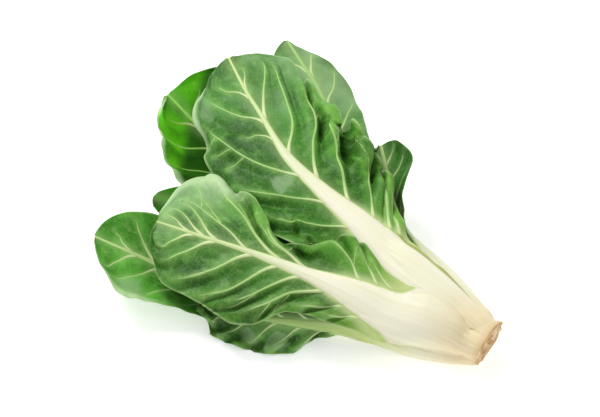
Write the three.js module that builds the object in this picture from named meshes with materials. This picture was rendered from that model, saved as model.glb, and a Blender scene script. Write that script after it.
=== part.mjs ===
// A head of white-stalked Swiss chard, cut at the crown and lying on its side.
// Millimetres, +Z up. +X points out of the cut end and the leaves fan out towards -X.
// Every leaf is one solid, stalk and blade together, and the crown that they grow from is another.
import * as THREE from "three";

// Driving dimensions
const CROWN_AXIS = { y: -1, z: 25 }; // z is above the surface that the head lies on
const CROWN_RINGS = [ // [x, radius]
  [0, 23.8], [3, 23.6], [6, 22.8], [8.3, 21.6], [9.6, 20.6], [10.2, 19.4],
];
const CUT_SLOPE = { y: -0.12, z: 0.19 }; // by which the cut leans along X, per millimetre off the axis
const CROWN_DIMPLE = 1.2; // by which the middle of the cut face is hollow
const CROWN_SEGMENTS = 40;
const CROWN_LOBES = [ // [number, share of the radius, phase]
  [3, 0.015, 0.7], [5, 0.02, 2.1], [8, 0.01, 4.4],
];
const BLADE_THICKNESS = 1.2;
const RIB_BEHIND = 0.62; // share of a rib's thickness that stands out of the leaf's back
const RIB_BEFORE = 0.3; // and out of its face
const CLEARANCE = 1.8; // between a leaf and those that it rests on
const JOINT_GAP = 0.4; // between a stalk's foot and the crown
const CROWN_COLOR = 0xd8b583;
const CROWN_ROUGHNESS = 0.75;
const LEAF_ROUGHNESS = 0.5;
const PRESSED = 0.8; // by which the lowest leaves are flattened where they touch the surface

// Each leaf is worked out on a fine grid, and every KEEP-th line of it becomes an edge of the solid.
const STATIONS = 97;
const COLUMNS = 41;
const KEEP = 4;
const TIP_CROWDING = 1.6; // stations draw together towards the tip
const RIB_CROWDING = 1.3; // columns draw together towards the midrib
const FIELD_CELL = 2; // of the height field that leaves settle on
const STALK_RISES_WHOLE = 0.08; // stations below this share are lifted without bending across
const BLADE_BENDS = 0.22; // and those above this one bend freely
const SETTLE_ROUNDS = 4;
const SPREAD_REACH = 2; // grid lines over which a lift is spread
const SPREAD_PASSES = 2; // and how often it is smoothed
const RUFFLE_CROWDING = 2.2; // the waves fade from the margin inwards
const CURL_CROWDING = 4; // and so does the curl
const ROUNDING_STARTS = 0.86; // the share of the leaf beyond which its tip rounds off
const TIP_WIDTH = 0.06; // share of its full width that a blade keeps at its tip

// The leaves, in the order in which they lie on each other, lowest first. A list of stops runs along the
// leaf, from 0 at the crown to 1 at the tip. "midrib" is its line, with z above the surface. "facing" is
// where the back of the leaf looks: 0 is +Y, 90 up and 270 down. "rib" is the full width and thickness of
// the stalk and of the midrib that it turns into. left and right are the two halves of the leaf: their
// width, "wrap", the turn in degrees from midrib to margin towards the face of the leaf, "curl", another
// turn close to the margin, "sweep", by which the margin runs ahead towards the tip, and "ruffle", the
// waves of the margin.
const LEAVES = [
  {
    name: "under_right_leaf",
    color: 0x4fa32e,
    midrib: [
      [0, 13.6, 10.4], [-50, 23, 4.2], [-140, 25, 4.2], [-220, 31, 3],
      [-275, 36, 9.5], [-325, 39, 24], [-366, 41, 42],
    ],
    facing: [[0, 315], [0.25, 280], [1, 268]],
    rib: {
      width: [[0, 22], [0.3, 38], [0.6, 14], [0.8, 5], [1, 1.6]],
      thickness: [[0, 5], [0.35, 6], [0.7, 2.5], [1, 1]],
    },
    left: {
      width: [[0, 11], [0.25, 20], [0.4, 30], [0.6, 46], [0.8, 64], [0.92, 74], [1, 78]],
      wrap: [[0, 40], [0.3, 20], [0.7, 32], [1, 36]],
      curl: [[0, 0], [0.5, 0], [0.8, 20], [1, 20]],
      ruffle: { height: [[0.3, 0], [0.6, 3], [1, 3]], waves: 5, phase: 2 },
    },
    right: {
      width: [[0, 11], [0.25, 20], [0.4, 32], [0.6, 50], [0.8, 62], [0.92, 54], [1, 46]],
      wrap: [[0, 40], [0.3, 20], [0.7, 32], [1, 30]],
      ruffle: { height: [[0.3, 0], [0.6, 3], [1, 2]], waves: 5, phase: 0 },
    },
  },
  {
    name: "under_left_leaf",
    color: 0x62a043,
    midrib: [
      [0, -4.5, 6.2], [-50, -17, 4], [-130, -45, 4.2], [-200, -74, 3.2],
      [-246, -91, 11], [-283, -103, 23], [-320, -121, 41],
    ],
    facing: [[0, 268], [0.25, 268], [0.7, 264], [1, 262]],
    rib: {
      width: [[0, 10], [0.3, 30], [0.6, 11], [0.8, 4.5], [1, 1.6]],
      thickness: [[0, 5], [0.35, 5.5], [0.7, 2.5], [1, 1]],
    },
    left: {
      width: [[0, 5], [0.25, 18], [0.4, 26], [0.6, 38], [0.8, 47], [1, 44]],
      wrap: [[0, 40], [0.3, 18], [0.7, 25], [1, 20]],
      ruffle: { height: [[0.3, 0], [0.6, 2], [1, 2]], waves: 4, phase: 1 },
    },
    right: {
      width: [[0, 5], [0.25, 15], [0.4, 23], [0.6, 32], [0.8, 50], [0.9, 60], [1, 66]],
      wrap: [[0, 40], [0.3, 18], [0.7, 16], [1, 10]],
      ruffle: { height: [[0.3, 0], [0.6, 2], [1, 2]], waves: 4, phase: 4 },
    },
  },
  {
    name: "low_front_leaf",
    color: 0x3f7a3a,
    midrib: [
      [0, -18, 11.5], [-20, -29, 10.5], [-46, -42, 13], [-94, -60, 24],
      [-130, -80, 26], [-165, -96, 23], [-214, -113, 11],
    ],
    facing: [[0, 224], [0.4, 188], [0.7, 150], [1, 140]],
    rib: {
      width: [[0, 13], [0.35, 24], [0.6, 9], [0.8, 3.5], [1, 1.6]],
      thickness: [[0, 5], [0.35, 5], [0.7, 2], [1, 1]],
    },
    left: {
      width: [
        [0, 5], [0.05, 7], [0.1, 9.5], [0.3, 12], [0.42, 10],
        [0.54, 11], [0.62, 26], [0.76, 31], [0.9, 24], [1, 20],
      ],
      wrap: [[0, 40], [0.3, 20], [0.7, -15], [1, -20]],
      ruffle: { height: [[0.3, 0], [0.6, 3], [1, 3]], waves: 6, phase: 0 },
    },
    right: {
      width: [[0, 8.5], [0.06, 11], [0.12, 13], [0.3, 16], [0.5, 18], [0.7, 24], [1, 24]],
      wrap: [[0, 50], [0.15, 45], [0.35, 25], [0.7, 10], [1, 10]],
      ruffle: { height: [[0.3, 0], [0.6, 3], [1, 3]], waves: 5, phase: 2 },
    },
  },
  {
    name: "inner_left_leaf",
    color: 0x4c7d3f,
    midrib: [[0, -4.5, 12.6], [-80, -10, 19], [-170, -22, 25], [-250, -36, 28], [-314, -46, 28]],
    facing: [[0, 250], [0.3, 268], [1, 270]],
    rib: {
      width: [[0, 10], [0.3, 22], [0.6, 8], [0.85, 3], [1, 1.6]],
      thickness: [[0, 4], [0.35, 5], [0.7, 2.2], [1, 1]],
    },
    left: {
      width: [[0, 5], [0.25, 14], [0.4, 22], [0.6, 30], [0.8, 30], [1, 22]],
      wrap: [[0, 45], [0.3, 25], [1, 20]],
      ruffle: { height: [[0.3, 0], [0.6, 2], [1, 2]], waves: 5, phase: 1 },
    },
    right: {
      width: [[0, 5], [0.25, 14], [0.4, 22], [0.6, 30], [0.8, 30], [1, 22]],
      wrap: [[0, 45], [0.3, 25], [1, 20]],
      ruffle: { height: [[0.3, 0], [0.6, 2], [1, 2]], waves: 5, phase: 3 },
    },
  },
  {
    name: "heart_leaf_large",
    color: 0x7fb552,
    midrib: [[0, 6.5, 17.5], [-50, 9, 25], [-110, 12, 31], [-160, 18, 35], [-195, 26, 38]],
    facing: [[0, 310], [0.3, 280], [1, 272]],
    rib: {
      width: [[0, 7], [0.35, 14], [0.7, 6], [1, 2]],
      thickness: [[0, 3], [0.35, 3.5], [0.7, 1.8], [1, 1]],
    },
    left: {
      width: [[0, 3.5], [0.3, 8], [0.55, 18], [0.8, 22], [1, 18]],
      wrap: [[0, 25], [0.4, 40], [1, 35]],
    },
    right: {
      width: [[0, 3.5], [0.3, 8], [0.55, 18], [0.8, 22], [1, 18]],
      wrap: [[0, 25], [0.4, 40], [1, 35]],
    },
  },
  {
    name: "heart_leaf_middle",
    color: 0x8abf5c,
    midrib: [[0, -4.5, 20.5], [-45, -8, 27], [-95, -16, 33], [-145, -26, 40]],
    facing: [[0, 225], [0.3, 255], [1, 268]],
    rib: {
      width: [[0, 6], [0.35, 12], [0.7, 5], [1, 2]],
      thickness: [[0, 3], [0.35, 3], [0.7, 1.6], [1, 1]],
    },
    left: {
      width: [[0, 3], [0.3, 7], [0.55, 14], [0.8, 18], [1, 14]],
      wrap: [[0, 25], [0.4, 40], [1, 35]],
    },
    right: {
      width: [[0, 3], [0.3, 7], [0.55, 14], [0.8, 18], [1, 14]],
      wrap: [[0, 25], [0.4, 40], [1, 35]],
    },
  },
  {
    name: "heart_leaf_small",
    color: 0x97c868,
    midrib: [[0, 1.5, 25], [-40, 1, 32], [-80, -1, 39], [-105, -2, 43]],
    facing: [[0, 270], [1, 270]],
    rib: {
      width: [[0, 6], [0.35, 10], [0.7, 4], [1, 2]],
      thickness: [[0, 2.5], [0.35, 2.5], [0.7, 1.5], [1, 1]],
    },
    left: {
      width: [[0, 3], [0.3, 6], [0.55, 10], [0.8, 12], [1, 10]],
      wrap: [[0, 25], [0.4, 50], [1, 45]],
    },
    right: {
      width: [[0, 3], [0.3, 6], [0.55, 10], [0.8, 12], [1, 10]],
      wrap: [[0, 25], [0.4, 50], [1, 45]],
    },
  },
  {
    name: "inner_front_leaf",
    color: 0x35672f,
    midrib: [[0, -13, 23.5], [-60, -31, 30], [-120, -50, 35], [-170, -75, 34], [-214, -105, 25]],
    facing: [[0, 182], [0.4, 155], [0.7, 125], [1, 110]],
    rib: {
      width: [[0, 9], [0.35, 18], [0.7, 7], [1, 2]],
      thickness: [[0, 3.5], [0.35, 4], [0.7, 2], [1, 1]],
    },
    left: {
      width: [[0, 4.5], [0.3, 9], [0.5, 9], [0.65, 12], [0.8, 21], [0.92, 28], [1, 26]],
      wrap: [[0, 40], [0.3, 20], [1, 10]],
      ruffle: { height: [[0.3, 0], [0.6, 3], [1, 3]], waves: 6, phase: 3 },
    },
    right: {
      width: [[0, 4.5], [0.3, 10], [0.5, 22], [0.8, 30], [1, 26]],
      wrap: [[0, 40], [0.3, 20], [1, 15]],
      ruffle: { height: [[0.3, 0], [0.6, 3], [1, 3]], waves: 6, phase: 1 },
    },
  },
  {
    name: "inner_right_leaf",
    color: 0x7aa85e,
    midrib: [
      [0, 0.5, 32.5], [-60, 8, 39], [-130, 33, 43], [-200, 75, 46],
      [-262, 118, 47], [-298, 137, 46], [-321, 149, 44],
    ],
    facing: [[0, 90], [0.3, 85], [1, 88]],
    rib: {
      width: [[0, 12], [0.3, 16], [0.55, 9], [0.75, 4], [1, 1.6]],
      thickness: [[0, 4], [0.35, 5], [0.7, 2.2], [1, 1]],
    },
    left: {
      width: [[0, 6], [0.25, 12], [0.4, 26], [0.6, 40], [0.8, 38], [1, 26]],
      wrap: [[0, 40], [0.3, 20], [1, 25]],
      ruffle: { height: [[0.3, 0], [0.6, 2], [1, 2]], waves: 5, phase: 2 },
    },
    right: {
      width: [[0, 6], [0.2, 9], [0.35, 7], [0.5, 10], [0.65, 26], [0.8, 31], [0.9, 25], [1, 17]],
      wrap: [[0, 40], [0.3, 20], [1, 30]],
      ruffle: { height: [[0.3, 0], [0.6, 2], [1, 2]], waves: 5, phase: 5 },
    },
  },
  {
    name: "back_leaf",
    color: 0x47764a,
    midrib: [
      [0, 17.6, 25.5], [-14, 24, 27], [-38, 29.5, 30.5], [-64, 35.5, 33], [-89, 41, 35],
      [-111, 46, 36], [-130, 55, 37], [-150, 70, 43], [-168, 87, 47], [-184, 102, 49],
    ],
    facing: [[0, 25], [0.12, 45], [0.25, 58], [0.4, 50], [0.55, 5], [0.7, -35], [1, -50]],
    rib: {
      width: [[0, 14], [0.3, 23], [0.5, 15], [0.7, 8], [1, 2]],
      thickness: [[0, 4.5], [0.35, 5], [0.7, 2], [1, 1]],
    },
    left: {
      width: [[0, 7], [0.3, 13], [0.45, 10], [0.65, 11], [0.72, 19], [0.8, 32], [1, 29]],
      wrap: [[0, 40], [0.3, 20], [0.7, 15], [1, 10]],
      ruffle: { height: [[0.4, 0], [0.7, 3], [1, 3]], waves: 5, phase: 0 },
    },
    right: {
      width: [[0, 6], [0.3, 12], [0.45, 9], [0.6, 14], [0.75, 32], [1, 42]],
      wrap: [[0, 40], [0.3, 20], [0.7, 15], [1, 10]],
      ruffle: { height: [[0.4, 0], [0.7, 3], [1, 3]], waves: 5, phase: 3 },
    },
  },
  {
    name: "upper_leaf",
    color: 0x5f8f55,
    midrib: [
      [0, 4.6, 42], [-20, 6.2, 44], [-55, 6, 48.5], [-97, 7, 56], [-141, 13, 65],
      [-184, 17, 72], [-228, 26, 77], [-270, 47, 78], [-300, 63, 76], [-336, 87, 69],
    ],
    facing: [[0, 72], [0.15, 82], [0.5, 92], [1, 95]],
    rib: {
      width: [
        [0, 23], [0.15, 40], [0.28, 38], [0.34, 31], [0.42, 22], [0.5, 15],
        [0.57, 11], [0.64, 8], [0.72, 4.4], [0.83, 2.7], [1, 1.2],
      ],
      thickness: [[0, 4.6], [0.3, 7], [0.45, 5], [0.6, 3], [0.8, 1.6], [1, 1]],
    },
    left: {
      width: [
        [0, 10.5], [0.12, 20.5], [0.25, 23.5], [0.33, 32], [0.4, 47],
        [0.48, 57], [0.58, 60], [0.7, 62], [0.88, 52], [1, 40],
      ],
      wrap: [[0, 45], [0.3, 15], [0.6, 18], [1, 32]],
      curl: [[0, 0], [0.5, 0], [0.8, 30], [1, 20]],
      ruffle: { height: [[0.3, 0], [0.5, 4], [0.7, 2], [1, 1.5]], waves: 7, phase: 0 },
    },
    right: {
      width: [
        [0, 11.5], [0.2, 20.5], [0.3, 24], [0.365, 38], [0.436, 56], [0.5, 64],
        [0.6, 67], [0.7, 66], [0.79, 56], [0.88, 53], [1, 66],
      ],
      wrap: [[0, 45], [0.3, 20], [0.6, 18], [1, 28]],
      sweep: [[0.7, 0], [0.85, 4], [0.94, 9], [1, 14]],
      ruffle: { height: [[0.25, 0], [0.4, 5], [0.6, 7], [0.72, 3], [1, 1.5]], waves: 10, phase: 0 },
    },
  },
  {
    name: "front_leaf",
    color: 0x74a662,
    midrib: [
      [0, -18.6, 33.5], [-28, -27, 37.5], [-62, -38, 44], [-104, -47, 54],
      [-148, -58, 60], [-194, -69, 63], [-236, -79, 62], [-281, -85, 55],
    ],
    facing: [[0, 140], [0.2, 124], [0.5, 108], [1, 100]],
    rib: {
      width: [
        [0, 25], [0.15, 40], [0.26, 37], [0.33, 31], [0.43, 20],
        [0.51, 12], [0.62, 7.5], [0.74, 3.8], [0.88, 2.4], [1, 1.2],
      ],
      thickness: [[0, 4.6], [0.3, 7], [0.45, 5], [0.6, 3], [0.8, 1.6], [1, 1]],
    },
    left: {
      width: [
        [0, 12.5], [0.1, 19], [0.24, 23.5], [0.4, 31], [0.46, 33], [0.525, 36],
        [0.59, 56], [0.67, 64], [0.76, 58], [0.85, 53], [0.93, 51], [1, 44],
      ],
      wrap: [[0, 50], [0.15, 32], [0.32, 16], [0.6, 22], [1, 32]],
      ruffle: { height: [[0.3, 0], [0.5, 3], [0.7, 3], [1, 1.5]], waves: 7, phase: 1 },
    },
    right: {
      width: [
        [0, 9], [0.12, 18.5], [0.24, 27], [0.31, 31], [0.36, 39], [0.42, 47], [0.47, 44],
        [0.54, 22], [0.62, 20], [0.7, 34], [0.76, 50], [0.85, 58], [0.93, 73], [1, 105],
      ],
      wrap: [[0, 45], [0.3, 12], [0.6, 16], [1, 30]],
      sweep: [[0.85, 0], [0.93, 6], [0.97, 14], [1, 22]],
      ruffle: { height: [[0.3, 0], [0.5, 3], [0.7, 2], [1, 1.5]], waves: 6, phase: 3 },
    },
  },
];

const radians = THREE.MathUtils.degToRad;

// A smooth curve through [share, value] stops that doesn't overshoot them.
function profile(stops) {
  const slopes = stops.slice(1).map(([s, v], i) => (v - stops[i][1]) / (s - stops[i][0]));
  const tangents = stops.map((_, i) => {
    if (i === 0 || i === stops.length - 1) return slopes[Math.min(i, slopes.length - 1)];
    const before = slopes[i - 1];
    const after = slopes[i];
    return before * after <= 0 ? 0 : (2 * before * after) / (before + after);
  });
  return (share) => {
    let i = 0;
    while (i < stops.length - 2 && share > stops[i + 1][0]) i += 1;
    const [s0, v0] = stops[i];
    const [s1, v1] = stops[i + 1];
    const span = s1 - s0;
    const t = (share - s0) / span;
    const rise = 3 * t * t - 2 * t * t * t;
    return v0 * (1 - rise) + v1 * rise
      + span * (tangents[i] * t * (1 - t) * (1 - t) - tangents[i + 1] * t * t * (1 - t));
  };
}

// A profile that is zero before its first stop.
function from(stops) {
  const value = profile(stops);
  return (share) => (share < stops[0][0] ? 0 : value(share));
}

// The wave along a margin, at its full height on the margin itself.
function ruffleOf({ height, waves, phase }) {
  const tall = from(height);
  return (share) => tall(share) * Math.sin(2 * Math.PI * waves * share + phase);
}

// The share of its full width that a blade has near its rounded tip.
function tipRounding(share) {
  const past = Math.max(0, (share - ROUNDING_STARTS) / (1 - ROUNDING_STARTS));
  return Math.max(TIP_WIDTH, Math.sqrt(Math.max(0, 1 - past * past)));
}

// The middle surface of a leaf: points[i][j] at station i and column j, and its thickness on both sides.
function middleSurface(leaf) {
  const stops = leaf.midrib.map((p) => new THREE.Vector3(...p));
  const line = new THREE.CatmullRomCurve3(stops, false, "catmullrom");
  const facing = profile(leaf.facing);
  const ribWidth = profile(leaf.rib.width);
  const ribThickness = profile(leaf.rib.thickness);
  const sides = [leaf.left, leaf.right].map((side) => ({
    width: profile(side.width),
    wrap: profile(side.wrap),
    curl: side.curl ? profile(side.curl) : () => 0,
    ruffle: side.ruffle ? ruffleOf(side.ruffle) : () => 0,
    sweep: side.sweep ? from(side.sweep) : () => 0,
  }));
  const up = new THREE.Vector3(0, 0, 1);
  const points = [];
  const outer = [];
  const inner = [];
  for (let i = 0; i < STATIONS; i += 1) {
    const share = 1 - (1 - i / (STATIONS - 1)) ** TIP_CROWDING;
    const centre = line.getPointAt(share);
    const along = line.getTangentAt(share);
    const level = along.clone().cross(up).normalize();
    const over = level.clone().cross(along);
    const angle = radians(facing(share));
    const back = level.clone().multiplyScalar(Math.cos(angle)).addScaledVector(over, Math.sin(angle));
    const across = along.clone().cross(back);
    const row = new Array(COLUMNS);
    const outerRow = new Array(COLUMNS);
    const innerRow = new Array(COLUMNS);
    const halfRib = ribWidth(share) / 2;
    const rib = ribThickness(share);
    const middle = (COLUMNS - 1) / 2;
    for (const direction of [-1, 1]) {
      const side = sides[direction < 0 ? 0 : 1];
      const width = side.width(share) * tipRounding(share);
      const wrap = radians(side.wrap(share));
      const curl = radians(side.curl(share));
      let out = 0;
      let drop = 0;
      let last = 0;
      for (let k = 0; k <= middle; k += 1) {
        const r = (k / middle) ** RIB_CROWDING;
        const half = (r + last) / 2;
        const turn = wrap * half + curl * half ** CURL_CROWDING;
        out += Math.cos(turn) * (r - last) * width;
        drop += Math.sin(turn) * (r - last) * width;
        last = r;
        const j = middle + direction * k;
        const wave = side.ruffle(share) * r ** RUFFLE_CROWDING;
        row[j] = centre.clone()
          .addScaledVector(across, direction * (out + Math.sin(turn) * wave))
          .addScaledVector(back, Math.cos(turn) * wave - drop)
          .addScaledVector(along, side.sweep(share) * tipRounding(share) * r * r);
        const inRib = Math.max(0, 1 - (r * width / halfRib) ** 2);
        outerRow[j] = BLADE_THICKNESS / 2 + rib * RIB_BEHIND * Math.sqrt(inRib);
        innerRow[j] = BLADE_THICKNESS / 2 + rib * RIB_BEFORE * inRib;
      }
    }
    points.push(row);
    outer.push(outerRow);
    inner.push(innerRow);
  }
  return { points, outer, inner };
}

// The unit normals of a grid of points, looking out of the leaf's back.
function normalsOf(points) {
  const rows = points.length;
  const columns = points[0].length;
  return points.map((row, i) => row.map((_, j) => {
    const along = points[Math.min(i + 1, rows - 1)][j].clone().sub(points[Math.max(i - 1, 0)][j]);
    const across = row[Math.min(j + 1, columns - 1)].clone().sub(row[Math.max(j - 1, 0)]);
    return across.cross(along).normalize();
  }));
}

// The highest surface so far over each cell of the ground.
class HeightField {
  constructor() {
    this.cells = new Map();
  }

  key(x, y) {
    return `${Math.floor(x / FIELD_CELL)} ${Math.floor(y / FIELD_CELL)}`;
  }

  height(x, y) {
    return this.cells.get(this.key(x, y)) ?? -CLEARANCE - PRESSED;
  }

  raise(x, y, z) {
    this.cells.set(this.key(x, y), Math.max(z, this.height(x, y)));
  }

  // The highest of the cells that a point's own cell width touches.
  at(x, y) {
    const half = FIELD_CELL / 2;
    const around = [[-half, -half], [half, -half], [-half, half], [half, half]];
    return Math.max(...around.map(([dx, dy]) => this.height(x + dx, y + dy)));
  }
}

// Spreads a lift to the grid's neighbours so that a leaf is raised in one smooth swell.
function spread(lift) {
  const rows = lift.length;
  const columns = lift[0].length;
  const { clamp } = THREE.MathUtils;
  const near = (grid, i, j) => grid[clamp(i, 0, rows - 1)][clamp(j, 0, columns - 1)];
  const grown = lift.map((row, i) => row.map((_, j) => {
    let most = 0;
    for (let di = -SPREAD_REACH; di <= SPREAD_REACH; di += 1) {
      for (let dj = -SPREAD_REACH; dj <= SPREAD_REACH; dj += 1) {
        most = Math.max(most, near(lift, i + di, j + dj));
      }
    }
    return most;
  }));
  let smooth = grown;
  for (let pass = 0; pass < SPREAD_PASSES; pass += 1) {
    const rough = smooth;
    smooth = rough.map((row, i) => row.map((value, j) => {
      const ahead = near(rough, i + 1, j) + near(rough, i - 1, j);
      const beside = near(rough, i, j + 1) + near(rough, i, j - 1);
      return (2 * value + ahead + beside) / 6;
    }));
  }
  return smooth;
}

// Raises a leaf until it clears everything below it.
function settle(surface, field) {
  const { points, outer, inner } = surface;
  for (let round = 0; round < SETTLE_ROUNDS; round += 1) {
    const normals = normalsOf(points);
    const need = points.map((row, i) => row.map((p, j) => {
      const below = normals[i][j].z > 0 ? inner[i][j] : outer[i][j];
      const lowest = p.z - below * Math.abs(normals[i][j].z);
      return Math.max(0, field.at(p.x, p.y) + CLEARANCE - lowest, -PRESSED - lowest);
    }));
    const lift = spread(need);
    points.forEach((row, i) => {
      const whole = Math.max(...lift[i]);
      const bend = THREE.MathUtils.smoothstep(i / (STATIONS - 1), STALK_RISES_WHOLE, BLADE_BENDS);
      row.forEach((p, j) => {
        p.z += whole * (1 - bend) + lift[i][j] * bend;
      });
    });
  }
}

// Where each cell of a leaf's grid is read for the height field, in shares of the cell.
const READINGS = [0, 0.33, 0.67].flatMap((b) => [0, 0.33, 0.67].map((a) => [a, b]));

// Adds a leaf's upper side to the height field.
function cover(surface, field) {
  const { points, outer, inner } = surface;
  const normals = normalsOf(points);
  const top = (i, j) => {
    const above = normals[i][j].z > 0 ? outer[i][j] : inner[i][j];
    return points[i][j].z + above * Math.abs(normals[i][j].z);
  };
  for (let i = 0; i < points.length - 1; i += 1) {
    for (let j = 0; j < points[0].length - 1; j += 1) {
      for (const [a, b] of READINGS) {
        const weights = [
          [i, j, (1 - a) * (1 - b)],
          [i + 1, j, a * (1 - b)],
          [i, j + 1, (1 - a) * b],
          [i + 1, j + 1, a * b],
        ];
        let x = 0;
        let y = 0;
        let z = 0;
        for (const [m, n, weight] of weights) {
          x += points[m][n].x * weight;
          y += points[m][n].y * weight;
          z += top(m, n) * weight;
        }
        field.raise(x, y, z);
      }
    }
  }
}

// A closed solid around every KEEP-th line of a leaf's middle surface.
function leafGeometry({ points, outer, inner }) {
  const kept = (_, i) => i % KEEP === 0;
  const pick = (grid) => grid.filter(kept).map((row) => row.filter(kept));
  const middle = pick(points);
  const normals = pick(normalsOf(points));
  const outside = pick(outer);
  const inside = pick(inner);
  const rows = middle.length;
  const columns = middle[0].length;
  const positions = [];
  const place = (i, j, offset) => {
    const p = middle[i][j].clone().addScaledVector(normals[i][j], offset);
    positions.push(i === 0 ? -JOINT_GAP : Math.min(p.x, -JOINT_GAP), p.y, Math.max(0, p.z));
  };
  middle.forEach((row, i) => row.forEach((_, j) => place(i, j, outside[i][j])));
  middle.forEach((row, i) => row.forEach((_, j) => place(i, j, -inside[i][j])));
  const back = (i, j) => i * columns + j;
  const face = (i, j) => rows * columns + i * columns + j;
  const index = [];
  const quad = (a, b, c, d) => index.push(a, b, c, a, c, d);
  for (let i = 0; i < rows - 1; i += 1) {
    for (let j = 0; j < columns - 1; j += 1) {
      quad(back(i, j), back(i, j + 1), back(i + 1, j + 1), back(i + 1, j));
      quad(face(i, j), face(i + 1, j), face(i + 1, j + 1), face(i, j + 1));
    }
    quad(back(i, 0), back(i + 1, 0), face(i + 1, 0), face(i, 0));
    quad(back(i, columns - 1), face(i, columns - 1), face(i + 1, columns - 1), back(i + 1, columns - 1));
  }
  for (let j = 0; j < columns - 1; j += 1) {
    quad(back(0, j), face(0, j), face(0, j + 1), back(0, j + 1));
    quad(back(rows - 1, j), back(rows - 1, j + 1), face(rows - 1, j + 1), face(rows - 1, j));
  }
  return new THREE.BufferGeometry()
    .setAttribute("position", new THREE.Float32BufferAttribute(positions, 3))
    .setIndex(index);
}

// The short stub that the stalks grow from, cut off aslant and rounded at its rim.
function crownGeometry() {
  const positions = [];
  const index = [];
  const lobed = (angle) => CROWN_LOBES.reduce((sum, [number, share, phase]) => (
    sum + share * Math.cos(number * angle + phase)), 1);
  const last = CROWN_RINGS.length - 1;
  for (const [x, radius] of CROWN_RINGS) {
    for (let k = 0; k < CROWN_SEGMENTS; k += 1) {
      const angle = (2 * Math.PI * k) / CROWN_SEGMENTS;
      const reach = radius * lobed(angle);
      const y = reach * Math.cos(angle);
      const z = reach * Math.sin(angle);
      const lean = (x / CROWN_RINGS[last][0]) * (CUT_SLOPE.y * y + CUT_SLOPE.z * z);
      positions.push(x + lean, CROWN_AXIS.y + y, CROWN_AXIS.z + z);
    }
  }
  const foot = positions.length / 3;
  positions.push(CROWN_RINGS[0][0], CROWN_AXIS.y, CROWN_AXIS.z);
  positions.push(CROWN_RINGS[last][0] - CROWN_DIMPLE, CROWN_AXIS.y, CROWN_AXIS.z);
  for (let k = 0; k < CROWN_SEGMENTS; k += 1) {
    const next = (k + 1) % CROWN_SEGMENTS;
    for (let ring = 0; ring < last; ring += 1) {
      const a = ring * CROWN_SEGMENTS + k;
      const b = ring * CROWN_SEGMENTS + next;
      index.push(a, b, b + CROWN_SEGMENTS, a, b + CROWN_SEGMENTS, a + CROWN_SEGMENTS);
    }
    index.push(foot, next, k);
    index.push(foot + 1, last * CROWN_SEGMENTS + k, last * CROWN_SEGMENTS + next);
  }
  return new THREE.BufferGeometry()
    .setAttribute("position", new THREE.Float32BufferAttribute(positions, 3))
    .setIndex(index);
}

const head = new THREE.Group();
head.name = "swiss_chard";

function add(name, geometry, color, roughness) {
  const material = new THREE.MeshStandardMaterial({ color, roughness, metalness: 0 });
  const mesh = new THREE.Mesh(geometry, material);
  mesh.name = name;
  head.add(mesh);
}

add("crown", crownGeometry(), CROWN_COLOR, CROWN_ROUGHNESS);
const field = new HeightField();
for (const leaf of LEAVES) {
  const surface = middleSurface(leaf);
  settle(surface, field);
  cover(surface, field);
  add(leaf.name, leafGeometry(surface), leaf.color, LEAF_ROUGHNESS);
}

// The origin is below the middle of the whole head, on the surface that it lies on.
const box = new THREE.Box3().setFromObject(head, true);
const middle = box.getCenter(new THREE.Vector3());
for (const piece of head.children) piece.geometry.translate(-middle.x, -middle.y, -box.min.z);

export default head;
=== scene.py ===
"""A head of white-stalked Swiss chard on its side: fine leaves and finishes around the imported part."""

import math

import bpy
import numpy as np
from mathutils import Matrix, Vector


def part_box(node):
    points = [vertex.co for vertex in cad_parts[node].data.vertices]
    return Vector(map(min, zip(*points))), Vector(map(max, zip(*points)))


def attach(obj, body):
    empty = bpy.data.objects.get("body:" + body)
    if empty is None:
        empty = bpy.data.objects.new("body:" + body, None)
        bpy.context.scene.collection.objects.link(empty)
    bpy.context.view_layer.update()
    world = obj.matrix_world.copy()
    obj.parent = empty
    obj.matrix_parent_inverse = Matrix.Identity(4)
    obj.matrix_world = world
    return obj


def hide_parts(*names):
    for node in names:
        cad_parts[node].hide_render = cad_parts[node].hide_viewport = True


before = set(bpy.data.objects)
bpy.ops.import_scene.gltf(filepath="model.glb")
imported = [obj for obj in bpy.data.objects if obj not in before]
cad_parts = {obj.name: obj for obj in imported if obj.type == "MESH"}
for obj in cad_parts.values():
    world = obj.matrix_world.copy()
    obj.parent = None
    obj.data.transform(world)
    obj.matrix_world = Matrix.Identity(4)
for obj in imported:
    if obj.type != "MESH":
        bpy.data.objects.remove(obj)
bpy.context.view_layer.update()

# ---- the leaves, in the order in which they are laid down ----
#
# Lengths are in millimetres and angles in degrees. {share: value} stops make a profile over the way from a
# leaf's foot to its tip.
#
# midrib        points of the midrib, before the leaf settles on those below it
# facing        where the leaf's back looks, as an angle round its midrib: 90 is up
# left, right   the halves of the blade: width; wrap, the slope at the margin; curl, more slope near the
#               margin; sweep, how far the margin reaches on along the midrib; ruffle, the height, number and
#               phase of its waves; and fold, the height of the folds that follow the veins
# veins         share at the rib, share at the end, reach at the end as a share of the half's width, and bow,
#               then any forks: reach where it starts, share and reach where it ends. broad is how much
#               bolder the veins of the left and the right half are
# skirt         how much wider than in the CAD model a half is, to run on behind its neighbour
# crumple       the height of creases with sharp ridges
# tucks         pinched folds: share, reach, length, width, turn in radians, and depth
# grid          rows along the leaf, and columns on each half
# wave, pillow  how high the blade's slow waves are, and how far it swells between its veins
#
# leaf_material tells the rest.


def rising(height):
    """A profile that starts past the stalk and keeps its height to the tip."""
    return {0.3: 0, 0.6: height, 1: height}


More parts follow.
